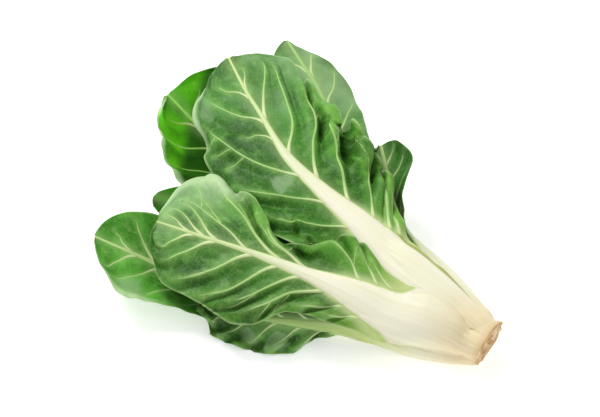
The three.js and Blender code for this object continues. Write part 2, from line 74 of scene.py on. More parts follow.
PLAIN_VEINS = dict(
    left=[
        [0.91, 0.96, 0.7, 1.3], [0.82, 0.91, 0.88, 1.4], [0.72, 0.83, 0.9, 1.4], [0.62, 0.73, 0.9, 1.4],
        [0.52, 0.62, 0.88, 1.4], [0.42, 0.51, 0.85, 1.4],
    ],
    right=[
        [0.89, 0.95, 0.75, 1.3], [0.79, 0.88, 0.88, 1.4], [0.69, 0.79, 0.9, 1.4], [0.59, 0.7, 0.9, 1.4],
        [0.49, 0.59, 0.88, 1.4], [0.4, 0.48, 0.85, 1.4],
    ],
)

LEAVES = {}
LEAVES["under_right_leaf"] = dict(
    midrib=[
        [0, 13.6, 10.4], [-50, 23, 4.2], [-140, 25, 4.2], [-220, 31, 3], [-275, 36, 9.5], [-325, 39, 24],
        [-366, 41, 42],
    ],
    facing={0: 315, 0.25: 280, 1: 268},
    rib_width={0: 22, 0.3: 38, 0.6: 14, 0.8: 5, 1: 1.6},
    rib_thickness={0: 5, 0.35: 6, 0.7: 2.5, 1: 1},
    left=dict(
        width={0: 11, 0.25: 20, 0.4: 30, 0.6: 46, 0.8: 64, 0.92: 74, 1: 78},
        wrap={0: 40, 0.3: 20, 0.7: 32, 1: 36},
        curl={0: 0, 0.5: 0, 0.8: 20, 1: 20},
        ruffle=(rising(3), 5, 2),
    ),
    right=dict(
        width={0: 11, 0.25: 20, 0.4: 32, 0.6: 50, 0.8: 62, 0.92: 54, 1: 46},
        wrap={0: 40, 0.3: 20, 0.7: 32, 1: 30},
        ruffle=({0.3: 0, 0.6: 3, 1: 2}, 5, 0),
        fold={0.4: 0, 0.6: 2, 1: 2},
    ),
    veins=dict(
        left=[
            [0.93, 0.975, 0.6, 1.3], [0.85, 0.93, 0.9, 1.4], [0.75, 0.86, 0.9, 1.4], [0.65, 0.77, 0.9, 1.4],
            [0.54, 0.66, 0.88, 1.4], [0.44, 0.55, 0.85, 1.4],
        ],
        right=[
            [0.92, 0.965, 0.6, 1.3], [0.845, 0.95, 0.9, 1.5], [0.76, 0.88, 0.9, 1.4],
            [0.66, 0.79, 0.9, 1.4], [0.55, 0.68, 0.9, 1.4], [0.45, 0.56, 0.85, 1.4],
        ],
    ),
    grid=(160, 40), wave=1.1, pillow=0.9,
    greens=(0x56b60e, 0x5a8f3f, 0x78cb26), rib_green=0.6, sheen=0.3, gloss=1,
    shade=(0.87, 0.49, 0.307),
)
LEAVES["under_left_leaf"] = dict(
    midrib=[
        [0, -4.5, 6.2], [-50, -17, 4], [-130, -45, 4.2], [-200, -74, 3.2], [-246, -91, 11],
        [-283, -103, 23], [-320, -121, 41],
    ],
    facing={0: 268, 0.25: 268, 0.7: 264, 1: 262},
    rib_width={0: 10, 0.3: 30, 0.6: 11, 0.8: 4.5, 1: 1.6},
    rib_thickness={0: 5, 0.35: 5.5, 0.7: 2.5, 1: 1},
    left=dict(
        width={0: 5, 0.25: 18, 0.4: 26, 0.6: 38, 0.8: 47, 1: 44},
        wrap={0: 40, 0.3: 18, 0.7: 25, 1: 20},
        ruffle=(rising(2), 4, 1),
    ),
    right=dict(
        width={0: 5, 0.25: 15, 0.4: 23, 0.6: 32, 0.8: 50, 0.9: 60, 1: 66},
        wrap={0: 40, 0.3: 18, 0.7: 16, 1: 10},
        ruffle=(rising(2), 4, 4),
    ),
    veins=dict(
        left=[
            [0.92, 0.96, 0.55, 1.3], [0.86, 0.93, 0.93, 1.3], [0.77, 0.87, 0.9, 1.4],
            [0.67, 0.78, 0.9, 1.4], [0.57, 0.68, 0.9, 1.4], [0.46, 0.57, 0.85, 1.4],
        ],
        right=[
            [0.91, 0.975, 0.8, 1.3], [0.83, 0.95, 0.82, 1.5], [0.74, 0.84, 0.87, 1.4],
            [0.64, 0.75, 0.9, 1.4], [0.54, 0.66, 0.9, 1.4], [0.44, 0.55, 0.85, 1.4],
        ],
    ),
    grid=(160, 40), wave=1.0, pillow=0.9,
    greens=(0x52a030, 0x66954e, 0x9ccb70), rib_green=0.35, sheen=0.5, gloss=0.8,
    spots=[[306, 46, 24, 0.4]],
)
LEAVES["low_front_leaf"] = dict(
    midrib=[
        [0, -18, 11.5], [-20, -29, 10.5], [-46, -42, 13], [-94, -60, 24], [-130, -80, 26], [-165, -96, 23],
        [-214, -113, 11],
    ],
    facing={0: 224, 0.4: 188, 0.7: 150, 1: 140},
    rib_width={0: 13, 0.35: 24, 0.6: 9, 0.8: 3.5, 1: 1.6},
    rib_thickness={0: 5, 0.35: 5, 0.7: 2, 1: 1},
    left=dict(
        width={0: 5, 0.05: 7, 0.1: 9.5, 0.3: 12, 0.42: 10, 0.54: 11, 0.62: 26, 0.76: 31, 0.9: 24, 1: 20},
        wrap={0: 40, 0.3: 20, 0.7: -15, 1: -20},
        ruffle=(rising(3), 6, 0),
        fold={0.3: 0, 0.6: 3, 1: 2},
    ),
    right=dict(
        width={0: 8.5, 0.06: 11, 0.12: 13, 0.3: 16, 0.5: 18, 0.7: 24, 1: 24},
        wrap={0: 50, 0.15: 45, 0.35: 25, 0.7: 10, 1: 10},
        ruffle=(rising(3), 5, 2),
        fold={0.3: 0, 0.6: 3, 1: 2},
    ),
    veins=PLAIN_VEINS,
    skirt=dict(right={0: 0, 0.03: 7, 0.25: 7, 0.35: 0, 1: 0}),
    crumple=dict(left={0.5: 0, 0.62: 4, 1: 4}, right={0.5: 0, 0.62: 4, 1: 4}),
    grid=(150, 36), wave=1.6, pillow=1.0,
    greens=(0x3d7c28, 0x5e9a44, 0x8cb86c), rib_green=0.6, olive=0.85, gloss=0.9,
    shade=(0.05, -1, 0.009),
    spots=[[165, -20, 13, 0.5], [140, -20, 10, 0.5], [189, -18, 11, 0.4], [214, -8, 20, -0.8]],
)
LEAVES["inner_left_leaf"] = dict(
    midrib=[[0, -4.5, 12.6], [-80, -10, 19], [-170, -22, 25], [-250, -36, 28], [-314, -46, 28]],
    facing={0: 250, 0.3: 268, 1: 270},
    rib_width={0: 10, 0.3: 22, 0.6: 8, 0.85: 3, 1: 1.6},
    rib_thickness={0: 4, 0.35: 5, 0.7: 2.2, 1: 1},
    left=dict(
        width={0: 5, 0.25: 14, 0.4: 22, 0.6: 30, 0.8: 30, 1: 22},
        wrap={0: 45, 0.3: 25, 1: 20},
        ruffle=(rising(2), 5, 1),
    ),
    right=dict(
        width={0: 5, 0.25: 14, 0.4: 22, 0.6: 30, 0.8: 30, 1: 22},
        wrap={0: 45, 0.3: 25, 1: 20},
        ruffle=(rising(2), 5, 3),
    ),
    veins=PLAIN_VEINS,
    grid=(120, 30), wave=1.0, pillow=0.8,
    greens=(0x2f6f14, 0x34681f, 0x4a8a2c), rib_green=0.95,
)
LEAVES["heart_leaf_large"] = dict(
    midrib=[[0, 6.5, 17.5], [-50, 9, 25], [-110, 12, 31], [-160, 18, 35], [-195, 26, 38]],
    facing={0: 310, 0.3: 280, 1: 272},
    rib_width={0: 7, 0.35: 14, 0.7: 6, 1: 2},
    rib_thickness={0: 3, 0.35: 3.5, 0.7: 1.8, 1: 1},
    **dict.fromkeys(("left", "right"), dict(
        width={0: 3.5, 0.3: 8, 0.55: 18, 0.8: 22, 1: 18},
        wrap={0: 25, 0.4: 40, 1: 35},
    )),
    veins=PLAIN_VEINS,
    grid=(90, 20), wave=0.5, pillow=0.4,
    greens=(0x6fae3c, 0x8ab869, 0xa9cf76), rib_green=0.3, gloss=1,
)
LEAVES["heart_leaf_middle"] = dict(
    midrib=[[0, -4.5, 20.5], [-45, -8, 27], [-95, -16, 33], [-145, -26, 40]],
    facing={0: 225, 0.3: 255, 1: 268},
    rib_width={0: 6, 0.35: 12, 0.7: 5, 1: 2},
    rib_thickness={0: 3, 0.35: 3, 0.7: 1.6, 1: 1},
    **dict.fromkeys(("left", "right"), dict(
        width={0: 3, 0.3: 7, 0.55: 14, 0.8: 18, 1: 14},
        wrap={0: 25, 0.4: 40, 1: 35},
    )),
    veins=PLAIN_VEINS,
    grid=(80, 18), wave=0.4, pillow=0.3,
    greens=(0x7ab646, 0x93be70, 0xb2d57f), rib_green=0.3, gloss=1,
)
LEAVES["heart_leaf_small"] = dict(
    midrib=[[0, 1.5, 25], [-40, 1, 32], [-80, -1, 39], [-105, -2, 43]],
    facing={0: 270, 1: 270},
    rib_width={0: 6, 0.35: 10, 0.7: 4, 1: 2},
    rib_thickness={0: 2.5, 0.35: 2.5, 0.7: 1.5, 1: 1},
    **dict.fromkeys(("left", "right"), dict(
        width={0: 3, 0.3: 6, 0.55: 10, 0.8: 12, 1: 10},
        wrap={0: 25, 0.4: 50, 1: 45},
    )),
    veins=PLAIN_VEINS,
    grid=(70, 16), wave=0.3, pillow=0.2,
    greens=(0x86bf52, 0x9cc678, 0xbadb88), rib_green=0.3, gloss=1,
)
LEAVES["inner_front_leaf"] = dict(
    midrib=[[0, -13, 23.5], [-60, -31, 30], [-120, -50, 35], [-170, -75, 34], [-214, -105, 25]],
    facing={0: 182, 0.4: 155, 0.7: 125, 1: 110},
    rib_width={0: 9, 0.35: 18, 0.7: 7, 1: 2},
    rib_thickness={0: 3.5, 0.35: 4, 0.7: 2, 1: 1},
    left=dict(
        width={0: 4.5, 0.3: 9, 0.5: 9, 0.65: 12, 0.8: 21, 0.92: 28, 1: 26},
        wrap={0: 40, 0.3: 20, 1: 10},
        ruffle=(rising(3), 6, 3),
        fold={0.4: 0, 0.6: 3, 1: 2},
    ),
    right=dict(
        width={0: 4.5, 0.3: 10, 0.5: 22, 0.8: 30, 1: 26},
        wrap={0: 40, 0.3: 20, 1: 15},
        ruffle=(rising(3), 6, 1),
    ),
    veins=PLAIN_VEINS,
    grid=(130, 32), wave=1.6, pillow=1.0,
    greens=(0x2a6418, 0x3a6a2a, 0x6f9c4c), rib_green=0.5,
)
LEAVES["inner_right_leaf"] = dict(
    midrib=[
        [0, 0.5, 32.5], [-60, 8, 39], [-130, 33, 43], [-200, 75, 46], [-262, 118, 47], [-298, 137, 46],
        [-321, 149, 44],
    ],
    facing={0: 90, 0.3: 85, 1: 88},
    rib_width={0: 12, 0.3: 16, 0.55: 9, 0.75: 4, 1: 1.6},
    rib_thickness={0: 4, 0.35: 5, 0.7: 2.2, 1: 1},
    left=dict(
        width={0: 6, 0.25: 12, 0.4: 26, 0.6: 40, 0.8: 38, 1: 26},
        wrap={0: 40, 0.3: 20, 1: 25},
        ruffle=(rising(2), 5, 2),
    ),
    right=dict(
        width={0: 6, 0.2: 9, 0.35: 7, 0.5: 10, 0.65: 26, 0.8: 31, 0.9: 25, 1: 17},
        wrap={0: 40, 0.3: 20, 1: 30},
        ruffle=(rising(2), 5, 5),
    ),
    veins=PLAIN_VEINS,
    grid=(150, 38), wave=1.0, pillow=0.8,
    greens=(0x4f9430, 0x608f4e, 0x94bc70), rib_green=0.8, gloss=0.7,
    spots=[[310, 0, 34, 0.2], [288, 21, 26, 0.3]],
)
LEAVES["back_leaf"] = dict(
    midrib=[
        [0, 17.6, 25.5], [-14, 24, 27], [-38, 29.5, 30.5], [-64, 35.5, 33], [-89, 41, 35], [-111, 46, 36],
        [-130, 55, 37], [-150, 70, 43], [-168, 87, 47], [-184, 102, 49],
    ],
    facing={0: 25, 0.12: 45, 0.25: 58, 0.4: 50, 0.55: 5, 0.7: -35, 1: -50},
    rib_width={0: 14, 0.3: 23, 0.5: 15, 0.7: 8, 1: 2},
    rib_thickness={0: 4.5, 0.35: 5, 0.7: 2, 1: 1},
    left=dict(
        width={0: 7, 0.3: 13, 0.45: 10, 0.65: 11, 0.72: 19, 0.8: 32, 1: 29},
        wrap={0: 40, 0.3: 20, 0.7: 15, 1: 10},
        ruffle=({0.4: 0, 0.7: 3, 1: 3}, 5, 0),
    ),
    right=dict(
        width={0: 6, 0.3: 12, 0.45: 9, 0.6: 14, 0.75: 32, 1: 42},
        wrap={0: 40, 0.3: 20, 0.7: 15, 1: 10},
        ruffle=({0.4: 0, 0.7: 3, 1: 3}, 5, 3),
        fold={0.4: 0, 0.6: 3, 1: 2},
    ),
    veins=PLAIN_VEINS,
    grid=(150, 36), wave=1.4, pillow=0.9,
    greens=(0x34701e, 0x528544, 0x88ac6c), rib_green=0.5, gloss=0.9,
)
LEAVES["upper_leaf"] = dict(
    midrib=[
        [0, 4.6, 42], [-20, 6.2, 44], [-55, 6, 48.5], [-97, 7, 56], [-141, 13, 65], [-184, 17, 72],
        [-228, 26, 77], [-270, 47, 78], [-300, 63, 76], [-336, 87, 69],
    ],
    facing={0: 72, 0.15: 82, 0.5: 92, 1: 95},
    rib_width={
        0: 23, 0.15: 40, 0.28: 38, 0.34: 31, 0.42: 22, 0.5: 15, 0.57: 11, 0.64: 8, 0.72: 4.4, 0.83: 2.7,
        1: 1.2,
    },
    rib_thickness={0: 4.6, 0.3: 7, 0.45: 5, 0.6: 3, 0.8: 1.6, 1: 1},
    left=dict(
        width={
            0: 10.5, 0.12: 20.5, 0.25: 23.5, 0.33: 32, 0.4: 47, 0.48: 57, 0.58: 60, 0.7: 62, 0.88: 52,
            1: 40,
        },
        wrap={0: 45, 0.3: 15, 0.6: 18, 1: 32},
        curl={0: 0, 0.5: 0, 0.8: 30, 1: 20},
        ruffle=({0.3: 0, 0.5: 4, 0.7: 2, 1: 1.5}, 7, 0),
        fold={0.3: 0, 0.42: 3, 0.6: 2.5, 1: 1},
    ),
    right=dict(
        width={
            0: 11.5, 0.2: 20.5, 0.3: 24, 0.365: 38, 0.436: 56, 0.5: 64, 0.6: 67, 0.7: 66, 0.79: 56,
            0.88: 53, 1: 66,
        },
        wrap={0: 45, 0.3: 20, 0.6: 18, 1: 28},
        sweep={0.7: 0, 0.85: 4, 0.94: 9, 1: 14},
        ruffle=({0.25: 0, 0.4: 5, 0.6: 7, 0.72: 3, 1: 1.5}, 10, 0),
        fold={0.3: 0, 0.42: 3, 0.5: 6, 0.62: 11, 0.77: 5, 1: 1},
    ),
    veins=dict(
        left=[
            [0.87, 0.92, 0.5, 1.6], [0.785, 0.9, 0.66, 1.8], [0.72, 0.745, 0.4, 1.2],
            [0.6, 0.84, 0.85, 1.6, [[0.49, 0.69, 0.8], [0.59, 0.74, 0.87], [0.72, 0.785, 0.9]]],
            [0.5, 0.65, 0.85, 1.2], [0.41, 0.56, 0.85, 1.5], [0.34, 0.46, 0.9, 1.5],
            [0.27, 0.37, 0.85, 1.5],
        ],
        right=[
            [0.89, 0.945, 0.16, 1.2], [0.795, 0.97, 0.6, 1.3], [0.67, 0.95, 0.69, 1.9],
            [0.565, 0.82, 0.83, 1.5, [[0.6, 0.79, 0.92]]], [0.465, 0.73, 0.85, 1.6, [[0.6, 0.68, 0.95]]],
            [0.385, 0.52, 0.85, 1.4, [[0.63, 0.6, 0.95]]], [0.33, 0.46, 0.9, 1.4], [0.28, 0.42, 0.88, 1.4],
        ],
        broad=(1, 1.35),
    ),
    skirt=dict(
        left={0: 2, 0.03: 4, 0.2: 4, 0.27: 0, 1: 0},
        right={0: 0, 0.03: 3, 0.2: 5, 0.32: 3, 0.4: 0, 1: 0},
    ),
    crumple=dict(right={0.36: 0, 0.48: 3.5, 0.66: 3.5, 0.78: 0, 1: 0}),
    tucks=[
        [0.491, -0.72, 9, 4, 0.5, 3.5], [0.445, -0.8, 9, 3.5, 0.2, 3.5], [0.66, 0.72, 14, 5, 0.5, 4.5],
        [0.56, 0.86, 14, 5, 0.6, 4.5],
    ],
    grid=(240, 56), wave=1.0, pillow=1.0,
    greens=(0x3f8a26, 0x45862b, 0x8cc060), sheen=-0.4, gloss=1,
    # the pale spot at 212, -18 is a painted glossy sheen, the deep one at 258, 42 a painted shadow beside a
    # fold
    spots=[
        [212, -18, 13, 0.5], [268, -26, 24, -0.5], [258, 42, 11, -0.75], [312, -38, 12, 0.3],
        [250, -46, 28, -0.5], [184, 26, 14, -0.55], [290, 16, 24, 0.12],
    ],
    lip=0.95,
)
LEAVES["front_leaf"] = dict(
    midrib=[
        [0, -18.6, 33.5], [-28, -27, 37.5], [-62, -38, 44], [-104, -47, 54], [-148, -58, 60],
        [-194, -69, 63], [-236, -79, 62], [-281, -85, 55],
    ],
    facing={0: 140, 0.2: 124, 0.5: 108, 1: 100},
    rib_width={
        0: 25, 0.15: 40, 0.26: 37, 0.33: 31, 0.43: 20, 0.51: 12, 0.62: 7.5, 0.74: 3.8, 0.88: 2.4, 1: 1.2,
    },
    rib_thickness={0: 4.6, 0.3: 7, 0.45: 5, 0.6: 3, 0.8: 1.6, 1: 1},
    left=dict(
        width={
            0: 12.5, 0.1: 19, 0.24: 23.5, 0.4: 31, 0.46: 33, 0.525: 36, 0.59: 56, 0.67: 64, 0.76: 58,
            0.85: 53, 0.93: 51, 1: 44,
        },
        wrap={0: 50, 0.15: 32, 0.32: 16, 0.6: 22, 1: 32},
        ruffle=({0.3: 0, 0.5: 3, 0.7: 3, 1: 1.5}, 7, 1),
        fold={0.3: 0, 0.45: 4, 0.6: 4, 0.8: 1.5, 1: 1},
    ),
    right=dict(
        width={
            0: 9, 0.12: 18.5, 0.24: 27, 0.31: 31, 0.36: 39, 0.42: 47, 0.47: 44, 0.54: 22, 0.62: 20, 0.7: 34,
            0.76: 50, 0.85: 58, 0.93: 73, 1: 105,
        },
        wrap={0: 45, 0.3: 12, 0.6: 16, 1: 30},
        sweep={0.85: 0, 0.93: 6, 0.97: 14, 1: 22},
        ruffle=({0.3: 0, 0.5: 3, 0.7: 2, 1: 1.5}, 6, 3),
        fold={0.3: 0, 0.45: 4, 0.6: 5.5, 0.8: 4, 1: 1},
    ),
    veins=dict(
        left=[
            [0.9, 0.96, 0.6, 1.3], [0.83, 0.93, 0.7, 1.3], [0.71, 0.86, 0.82, 1.3, [[0.5, 0.87, 0.85]]],
            [0.62, 0.77, 0.9, 1.3, [[0.6, 0.8, 0.92]]], [0.53, 0.69, 0.75, 1.2, [[0.5, 0.71, 0.9]]],
            [0.45, 0.65, 0.85, 1.5, [[0.55, 0.56, 0.95], [0.66, 0.6, 0.94]]], [0.37, 0.49, 0.87, 1.3],
            [0.3, 0.42, 0.85, 1.3],
        ],
        right=[
            [0.91, 0.985, 0.2, 1.2], [0.865, 0.99, 0.36, 1.3], [0.825, 0.96, 0.46, 1.4],
            [0.725, 0.96, 0.48, 2.0, [[0.3, 0.93, 0.62], [0.41, 0.95, 0.8]]],
            [0.61, 0.9, 0.87, 1.7, [[0.42, 0.81, 0.8], [0.7, 0.78, 0.97]]],
            [0.53, 0.69, 0.95, 1.4, [[0.45, 0.72, 0.86], [0.55, 0.58, 0.93]]],
            [0.37, 0.5, 0.88, 1.5, [[0.5, 0.42, 0.9]]], [0.31, 0.42, 0.88, 1.5], [0.25, 0.36, 0.85, 1.5],
        ],
        broad=(1.25, 1.3),
    ),
    skirt=dict(left={0: 0, 0.03: 4, 0.22: 4, 0.3: 0, 1: 0}, right={0: 3, 0.03: 6, 0.14: 6, 0.25: 0, 1: 0}),
    grid=(230, 56), wave=1.0, pillow=1.3,
    greens=(0x3f8a26, 0x4b8c28, 0x9ac66e), sheen=1, gloss=1,
    spots=[
        [264, 9, 14, -0.55], [229, 13, 15, -0.55], [242, -28, 20, -0.45], [188, -45, 16, -0.4],
        [262, 48, 20, 0.4], [180, -46, 20, -0.4], [237, -32, 16, -0.5],
    ],
)

# ---- the middle surfaces, as in the part's source ----

BLADE = 1.2  # thickness of a blade in the CAD model
RIB_BEHIND, RIB_BEFORE = 0.62, 0.3  # shares of a rib's thickness on each side of the middle surface
CLEARANCE = 1.8  # between two leaves
PRESSED = 0.8  # how far the lowest leaves reach into the floor, where they are pressed flat
STATIONS, COLUMNS = 97, 41
TIP_CROWDING, RIB_CROWDING, RUFFLE_CROWDING, CURL_CROWDING = 1.6, 1.3, 2.2, 4
ROUNDING_STARTS, TIP_WIDTH = 0.86, 0.06
RISES_WHOLE, BENDS = 0.08, 0.22  # a leaf rises in one piece up to the first share, and bends past the second
CELL, CELLS, ORIGIN = 2.0, 260, (230, 130)  # the ground's grid, and the cell at the crown
SETTLING_ROUNDS, SPREAD_REACH, SPREAD_PASSES = 4, 2, 2
READINGS = (0, 0.33, 0.67)
SIDES = ((-1, "left"), (1, "right"))


def profile(stops):
    """A smooth curve through {share: value} stops that doesn't overshoot them."""
    s, v = np.array(list(stops.items()), float).T
    slope = np.diff(v) / np.diff(s)
    tangent = np.concatenate([slope[:1], np.zeros(len(s) - 2), slope[-1:]])
    for k in range(1, len(s) - 1):
        a, b = slope[k - 1], slope[k]
        tangent[k] = 0 if a * b <= 0 else 2 * a * b / (a + b)

    def value(share):
        share = np.asarray(share, float)
        i = np.searchsorted(s[1:-1], share, side="left")
        span = s[i + 1] - s[i]
        t = (share - s[i]) / span
        rise = 3 * t * t - 2 * t ** 3
        bend = tangent[i] * t * (1 - t) ** 2 - tangent[i + 1] * t * t * (1 - t)
        return v[i] * (1 - rise) + v[i + 1] * rise + span * bend

    return value


def starting(stops, share):
    """A profile that is zero before its first stop, and everywhere if there are no stops."""
    return np.where(share < min(stops), 0, profile(stops)(share)) if stops else 0 * share


def line_through(points):
    """Position and direction at shares of the length of a Catmull-Rom curve, and the length."""
    p = np.array(points, float)
    ends = np.vstack([2 * p[0] - p[1], p, 2 * p[-1] - p[-2]])

    def at(t):
        q = np.clip(t, 0, 1) * (len(p) - 1)
        k = np.minimum(q.astype(int), len(p) - 2)
        w = (q - k)[..., None]
        a, b, c, d = ends[k], ends[k + 1], ends[k + 2], ends[k + 3]
        m0, m1 = (c - a) / 2, (d - b) / 2
        return b + m0 * w + (3 * (c - b) - 2 * m0 - m1) * w ** 2 + (2 * (b - c) + m0 + m1) * w ** 3

    steps = np.linspace(0, 1, 201)
    run = np.concatenate([[0], np.cumsum(np.linalg.norm(np.diff(at(steps), axis=0), axis=1))])

    def sample(share):
        t = np.interp(share * run[-1], run, steps)
        ahead = at(t + 1e-4) - at(t - 1e-4)
        return at(t), ahead / np.linalg.norm(ahead, axis=-1, keepdims=True)

    return sample, run[-1]


def tip_rounding(share):
    past = np.maximum(0, (share - ROUNDING_STARTS) / (1 - ROUNDING_STARTS))
    return np.maximum(TIP_WIDTH, np.sqrt(np.maximum(0, 1 - past * past)))


def half_width(leaf, side, share):
    return profile(leaf[side]["width"])(share) * tip_rounding(share)


def rib_at(leaf, share, reach):
    """Thickness behind and in front of the middle surface, at a distance from the midrib."""
    half = profile(leaf["rib_width"])(share) / 2
    rib = profile(leaf["rib_thickness"])(share)
    within = np.maximum(0, 1 - (reach / half) ** 2)
    return BLADE / 2 + rib * RIB_BEHIND * np.sqrt(within), BLADE / 2 + rib * RIB_BEFORE * within


def middle_surface(leaf):
    """The surface in the middle of a leaf before it settles, its thickness on both sides, and its length."""
    sample, length = line_through(leaf["midrib"])
    share = 1 - (1 - np.arange(STATIONS) / (STATIONS - 1)) ** TIP_CROWDING
    centre, along = sample(share)
    level = np.cross(along, [0, 0, 1])
    level /= np.linalg.norm(level, axis=1, keepdims=True)
    over = np.cross(level, along)
    angle = np.radians(profile(leaf["facing"])(share))[:, None]
    back = level * np.cos(angle) + over * np.sin(angle)
    across = np.cross(along, back)
    points = np.zeros((STATIONS, COLUMNS, 3))
    outer, inner = np.zeros((2, STATIONS, COLUMNS))
    middle = (COLUMNS - 1) // 2
    for sign, name in SIDES:
        side = leaf[name]
        width = half_width(leaf, name, share)
        wrap = np.radians(profile(side["wrap"])(share))
        curl = np.radians(profile(side["curl"])(share)) if "curl" in side else 0
        height, number, phase = side.get("ruffle", (None, 0, 0))
        wave = starting(height, share) * np.sin(2 * np.pi * number * share + phase)
        sweep = starting(side.get("sweep"), share)
        out, drop, last = np.zeros(STATIONS), np.zeros(STATIONS), 0
        for k in range(middle + 1):
            r = (k / middle) ** RIB_CROWDING
            half = (r + last) / 2
            turn = wrap * half + curl * half ** CURL_CROWDING
            out = out + np.cos(turn) * (r - last) * width
            drop = drop + np.sin(turn) * (r - last) * width
            last = r
            j = middle + sign * k
            lift = wave * r ** RUFFLE_CROWDING
            points[:, j] = (centre + across * (sign * (out + np.sin(turn) * lift))[:, None]
                            + back * (np.cos(turn) * lift - drop)[:, None]
                            + along * (sweep * tip_rounding(share) * r * r)[:, None])
            outer[:, j], inner[:, j] = rib_at(leaf, share, r * width)
    return points, outer, inner, length


def normals_of(points):
    """Unit normals of a grid of points, looking out of the leaf's back."""
    padded = np.pad(points, ((1, 1), (1, 1), (0, 0)), mode="edge")
    along = padded[2:, 1:-1] - padded[:-2, 1:-1]
    across = padded[1:-1, 2:] - padded[1:-1, :-2]
    n = np.cross(across, along)
    return n / np.maximum(np.linalg.norm(n, axis=2, keepdims=True), 1e-12)


class Ground:
    """The highest surface so far over each cell of the ground."""

    def __init__(self):
        self.z = np.full((CELLS, CELLS), -CLEARANCE - PRESSED)

    def cells(self, x, y):
        return np.floor(x / CELL).astype(int) + ORIGIN[0], np.floor(y / CELL).astype(int) + ORIGIN[1]

    def at(self, x, y):
        h = CELL / 2
        return np.max([self.z[self.cells(x + a, y + b)] for a in (-h, h) for b in (-h, h)], axis=0)

    def settle(self, surface):
        """Raises a leaf until it clears everything below it."""
        points, outer, inner = surface[:3]
        rows = np.arange(STATIONS) / (STATIONS - 1)
        bend = smooth(RISES_WHOLE, BENDS, rows)[:, None]
        size = 2 * SPREAD_REACH + 1
        for _ in range(SETTLING_ROUNDS):
            nz = normals_of(points)[..., 2]
            lowest = points[..., 2] - np.where(nz > 0, inner, outer) * np.abs(nz)
            below = self.at(points[..., 0], points[..., 1]) + CLEARANCE
            lift = np.maximum(0, np.maximum(below, -PRESSED) - lowest)
            padded = np.pad(lift, SPREAD_REACH, mode="edge")
            lift = np.max([padded[a:a + STATIONS, b:b + COLUMNS]
                           for a in range(size) for b in range(size)], axis=0)
            for _ in range(SPREAD_PASSES):
                p = np.pad(lift, 1, mode="edge")
                lift = (2 * lift + p[2:, 1:-1] + p[:-2, 1:-1] + p[1:-1, 2:] + p[1:-1, :-2]) / 6
            points[..., 2] += lift.max(axis=1, keepdims=True) * (1 - bend) + lift * bend

    def cover(self, surface):
        """Adds a leaf's upper side to the ground."""
        points, outer, inner = surface[:3]
        nz = normals_of(points)[..., 2:]
        top = points.copy()
        top[..., 2:] += np.where(nz > 0, outer[..., None], inner[..., None]) * np.abs(nz)
        for a in READINGS:
            for b in READINGS:
                p = (top[:-1, :-1] * (1 - a) * (1 - b) + top[1:, :-1] * a * (1 - b)
                     + top[:-1, 1:] * (1 - a) * b + top[1:, 1:] * a * b)
                np.maximum.at(self.z, self.cells(p[..., 0].ravel(), p[..., 1].ravel()), p[..., 2].ravel())


def smooth(a, b, x):
    t = np.clip((x - a) / (b - a), 0, 1)
    return t * t * (3 - 2 * t)


# ---- fine leaves ----

CROWN_AXIS = np.array([-1.0, 25.0])  # y and z
CUT_SLOPE = np.array([-0.12, 0.19])  # how far the cut leans along, for each millimetre of y and z
CROWN_LENGTH = 10  # at the axis
FINE_TIP_CROWDING, FINE_RIB_CROWDING = 1.35, 1.12
FLOOR_GAP = 0.02
MAIN_VEIN, FORK, TWIG = 1.0, 0.85, 0.26  # how strongly each kind shows
VEIN_POINTS, FORK_POINTS, TWIG_POINTS = 28, 18, 12
VEIN_STARTS = 3  # inside the rib's edge
TWIG_SPACING = 11
RIDGES = ((3.2, 0.4), (5.3, 2.0), (8.7, 4.1))  # along the ribs: number in half a width, and phase
RIDGE_HEIGHT, RIDGE_SWAY = 0.11, 60
SLOW_WAVE, MARGIN_WAVE = (1.1, 55), (1.5, 34)  # height and size
FOLD_LEAN, CREASE_SIZE, CREASE_TOP = 0.75, 40, 0.3
HALF_BLADE, SWELL, SWELL_REACH, PILLOW_REACH = 0.34, 0.32, 1.7, 5.5
RUN_ON = (10.3, 9.2, 7.4, 5, 2.5)  # how far past the joint the stalks' rings in the crown lie
HALO_REACH, PALE_REACH = 5, 13


def waves(seed, u, v, size, octaves=3):
    """Smooth noise, mostly between -1 and 1, over flat leaf coordinates: crossing sine waves."""
    rng = np.random.default_rng(seed)
    total, weight = 0, 0
    for octave in range(octaves):
        part = 0
        for _ in range(5):
            turn, phase = rng.uniform(0, np.pi), rng.uniform(0, 2 * np.pi)
            pitch = size / 2 ** octave * rng.uniform(0.8, 1.25)
            part = part + np.sin(2 * np.pi * (u * np.cos(turn) + v * np.sin(turn)) / pitch + phase)
        total = total + part / 3 * 0.5 ** octave
        weight += 0.5 ** octave
    return total / weight


def resampler(at, count):
    """Weights that read Catmull-Rom values between count evenly spaced samples."""
    k = np.clip(at.astype(int), 0, count - 2)
    w = at - k
    rows = np.arange(len(at))
    matrix = np.zeros((len(at), count + 2))
    weights = ((-w + 2 * w ** 2 - w ** 3) / 2, (2 - 5 * w ** 2 + 3 * w ** 3) / 2,
               (w + 4 * w ** 2 - 3 * w ** 3) / 2, (w ** 3 - w ** 2) / 2)
    for step, weight in enumerate(weights):
        matrix[rows, k + step] += weight
    inside = matrix[:, 1:-1].copy()
    inside[:, 0] += 2 * matrix[:, 0]
    inside[:, 1] -= matrix[:, 0]
    inside[:, -1] += 2 * matrix[:, -1]
    inside[:, -2] -= matrix[:, -1]
    return inside


def tilted(points):
    """Slopes the cut: what is past the joint moves along by more towards the front and the top."""
    past = np.clip(points[..., 0] / CROWN_LENGTH, 0, 1.1)
    points[..., 0] += past * ((points[..., 1:] - CROWN_AXIS) @ CUT_SLOPE)
    return points


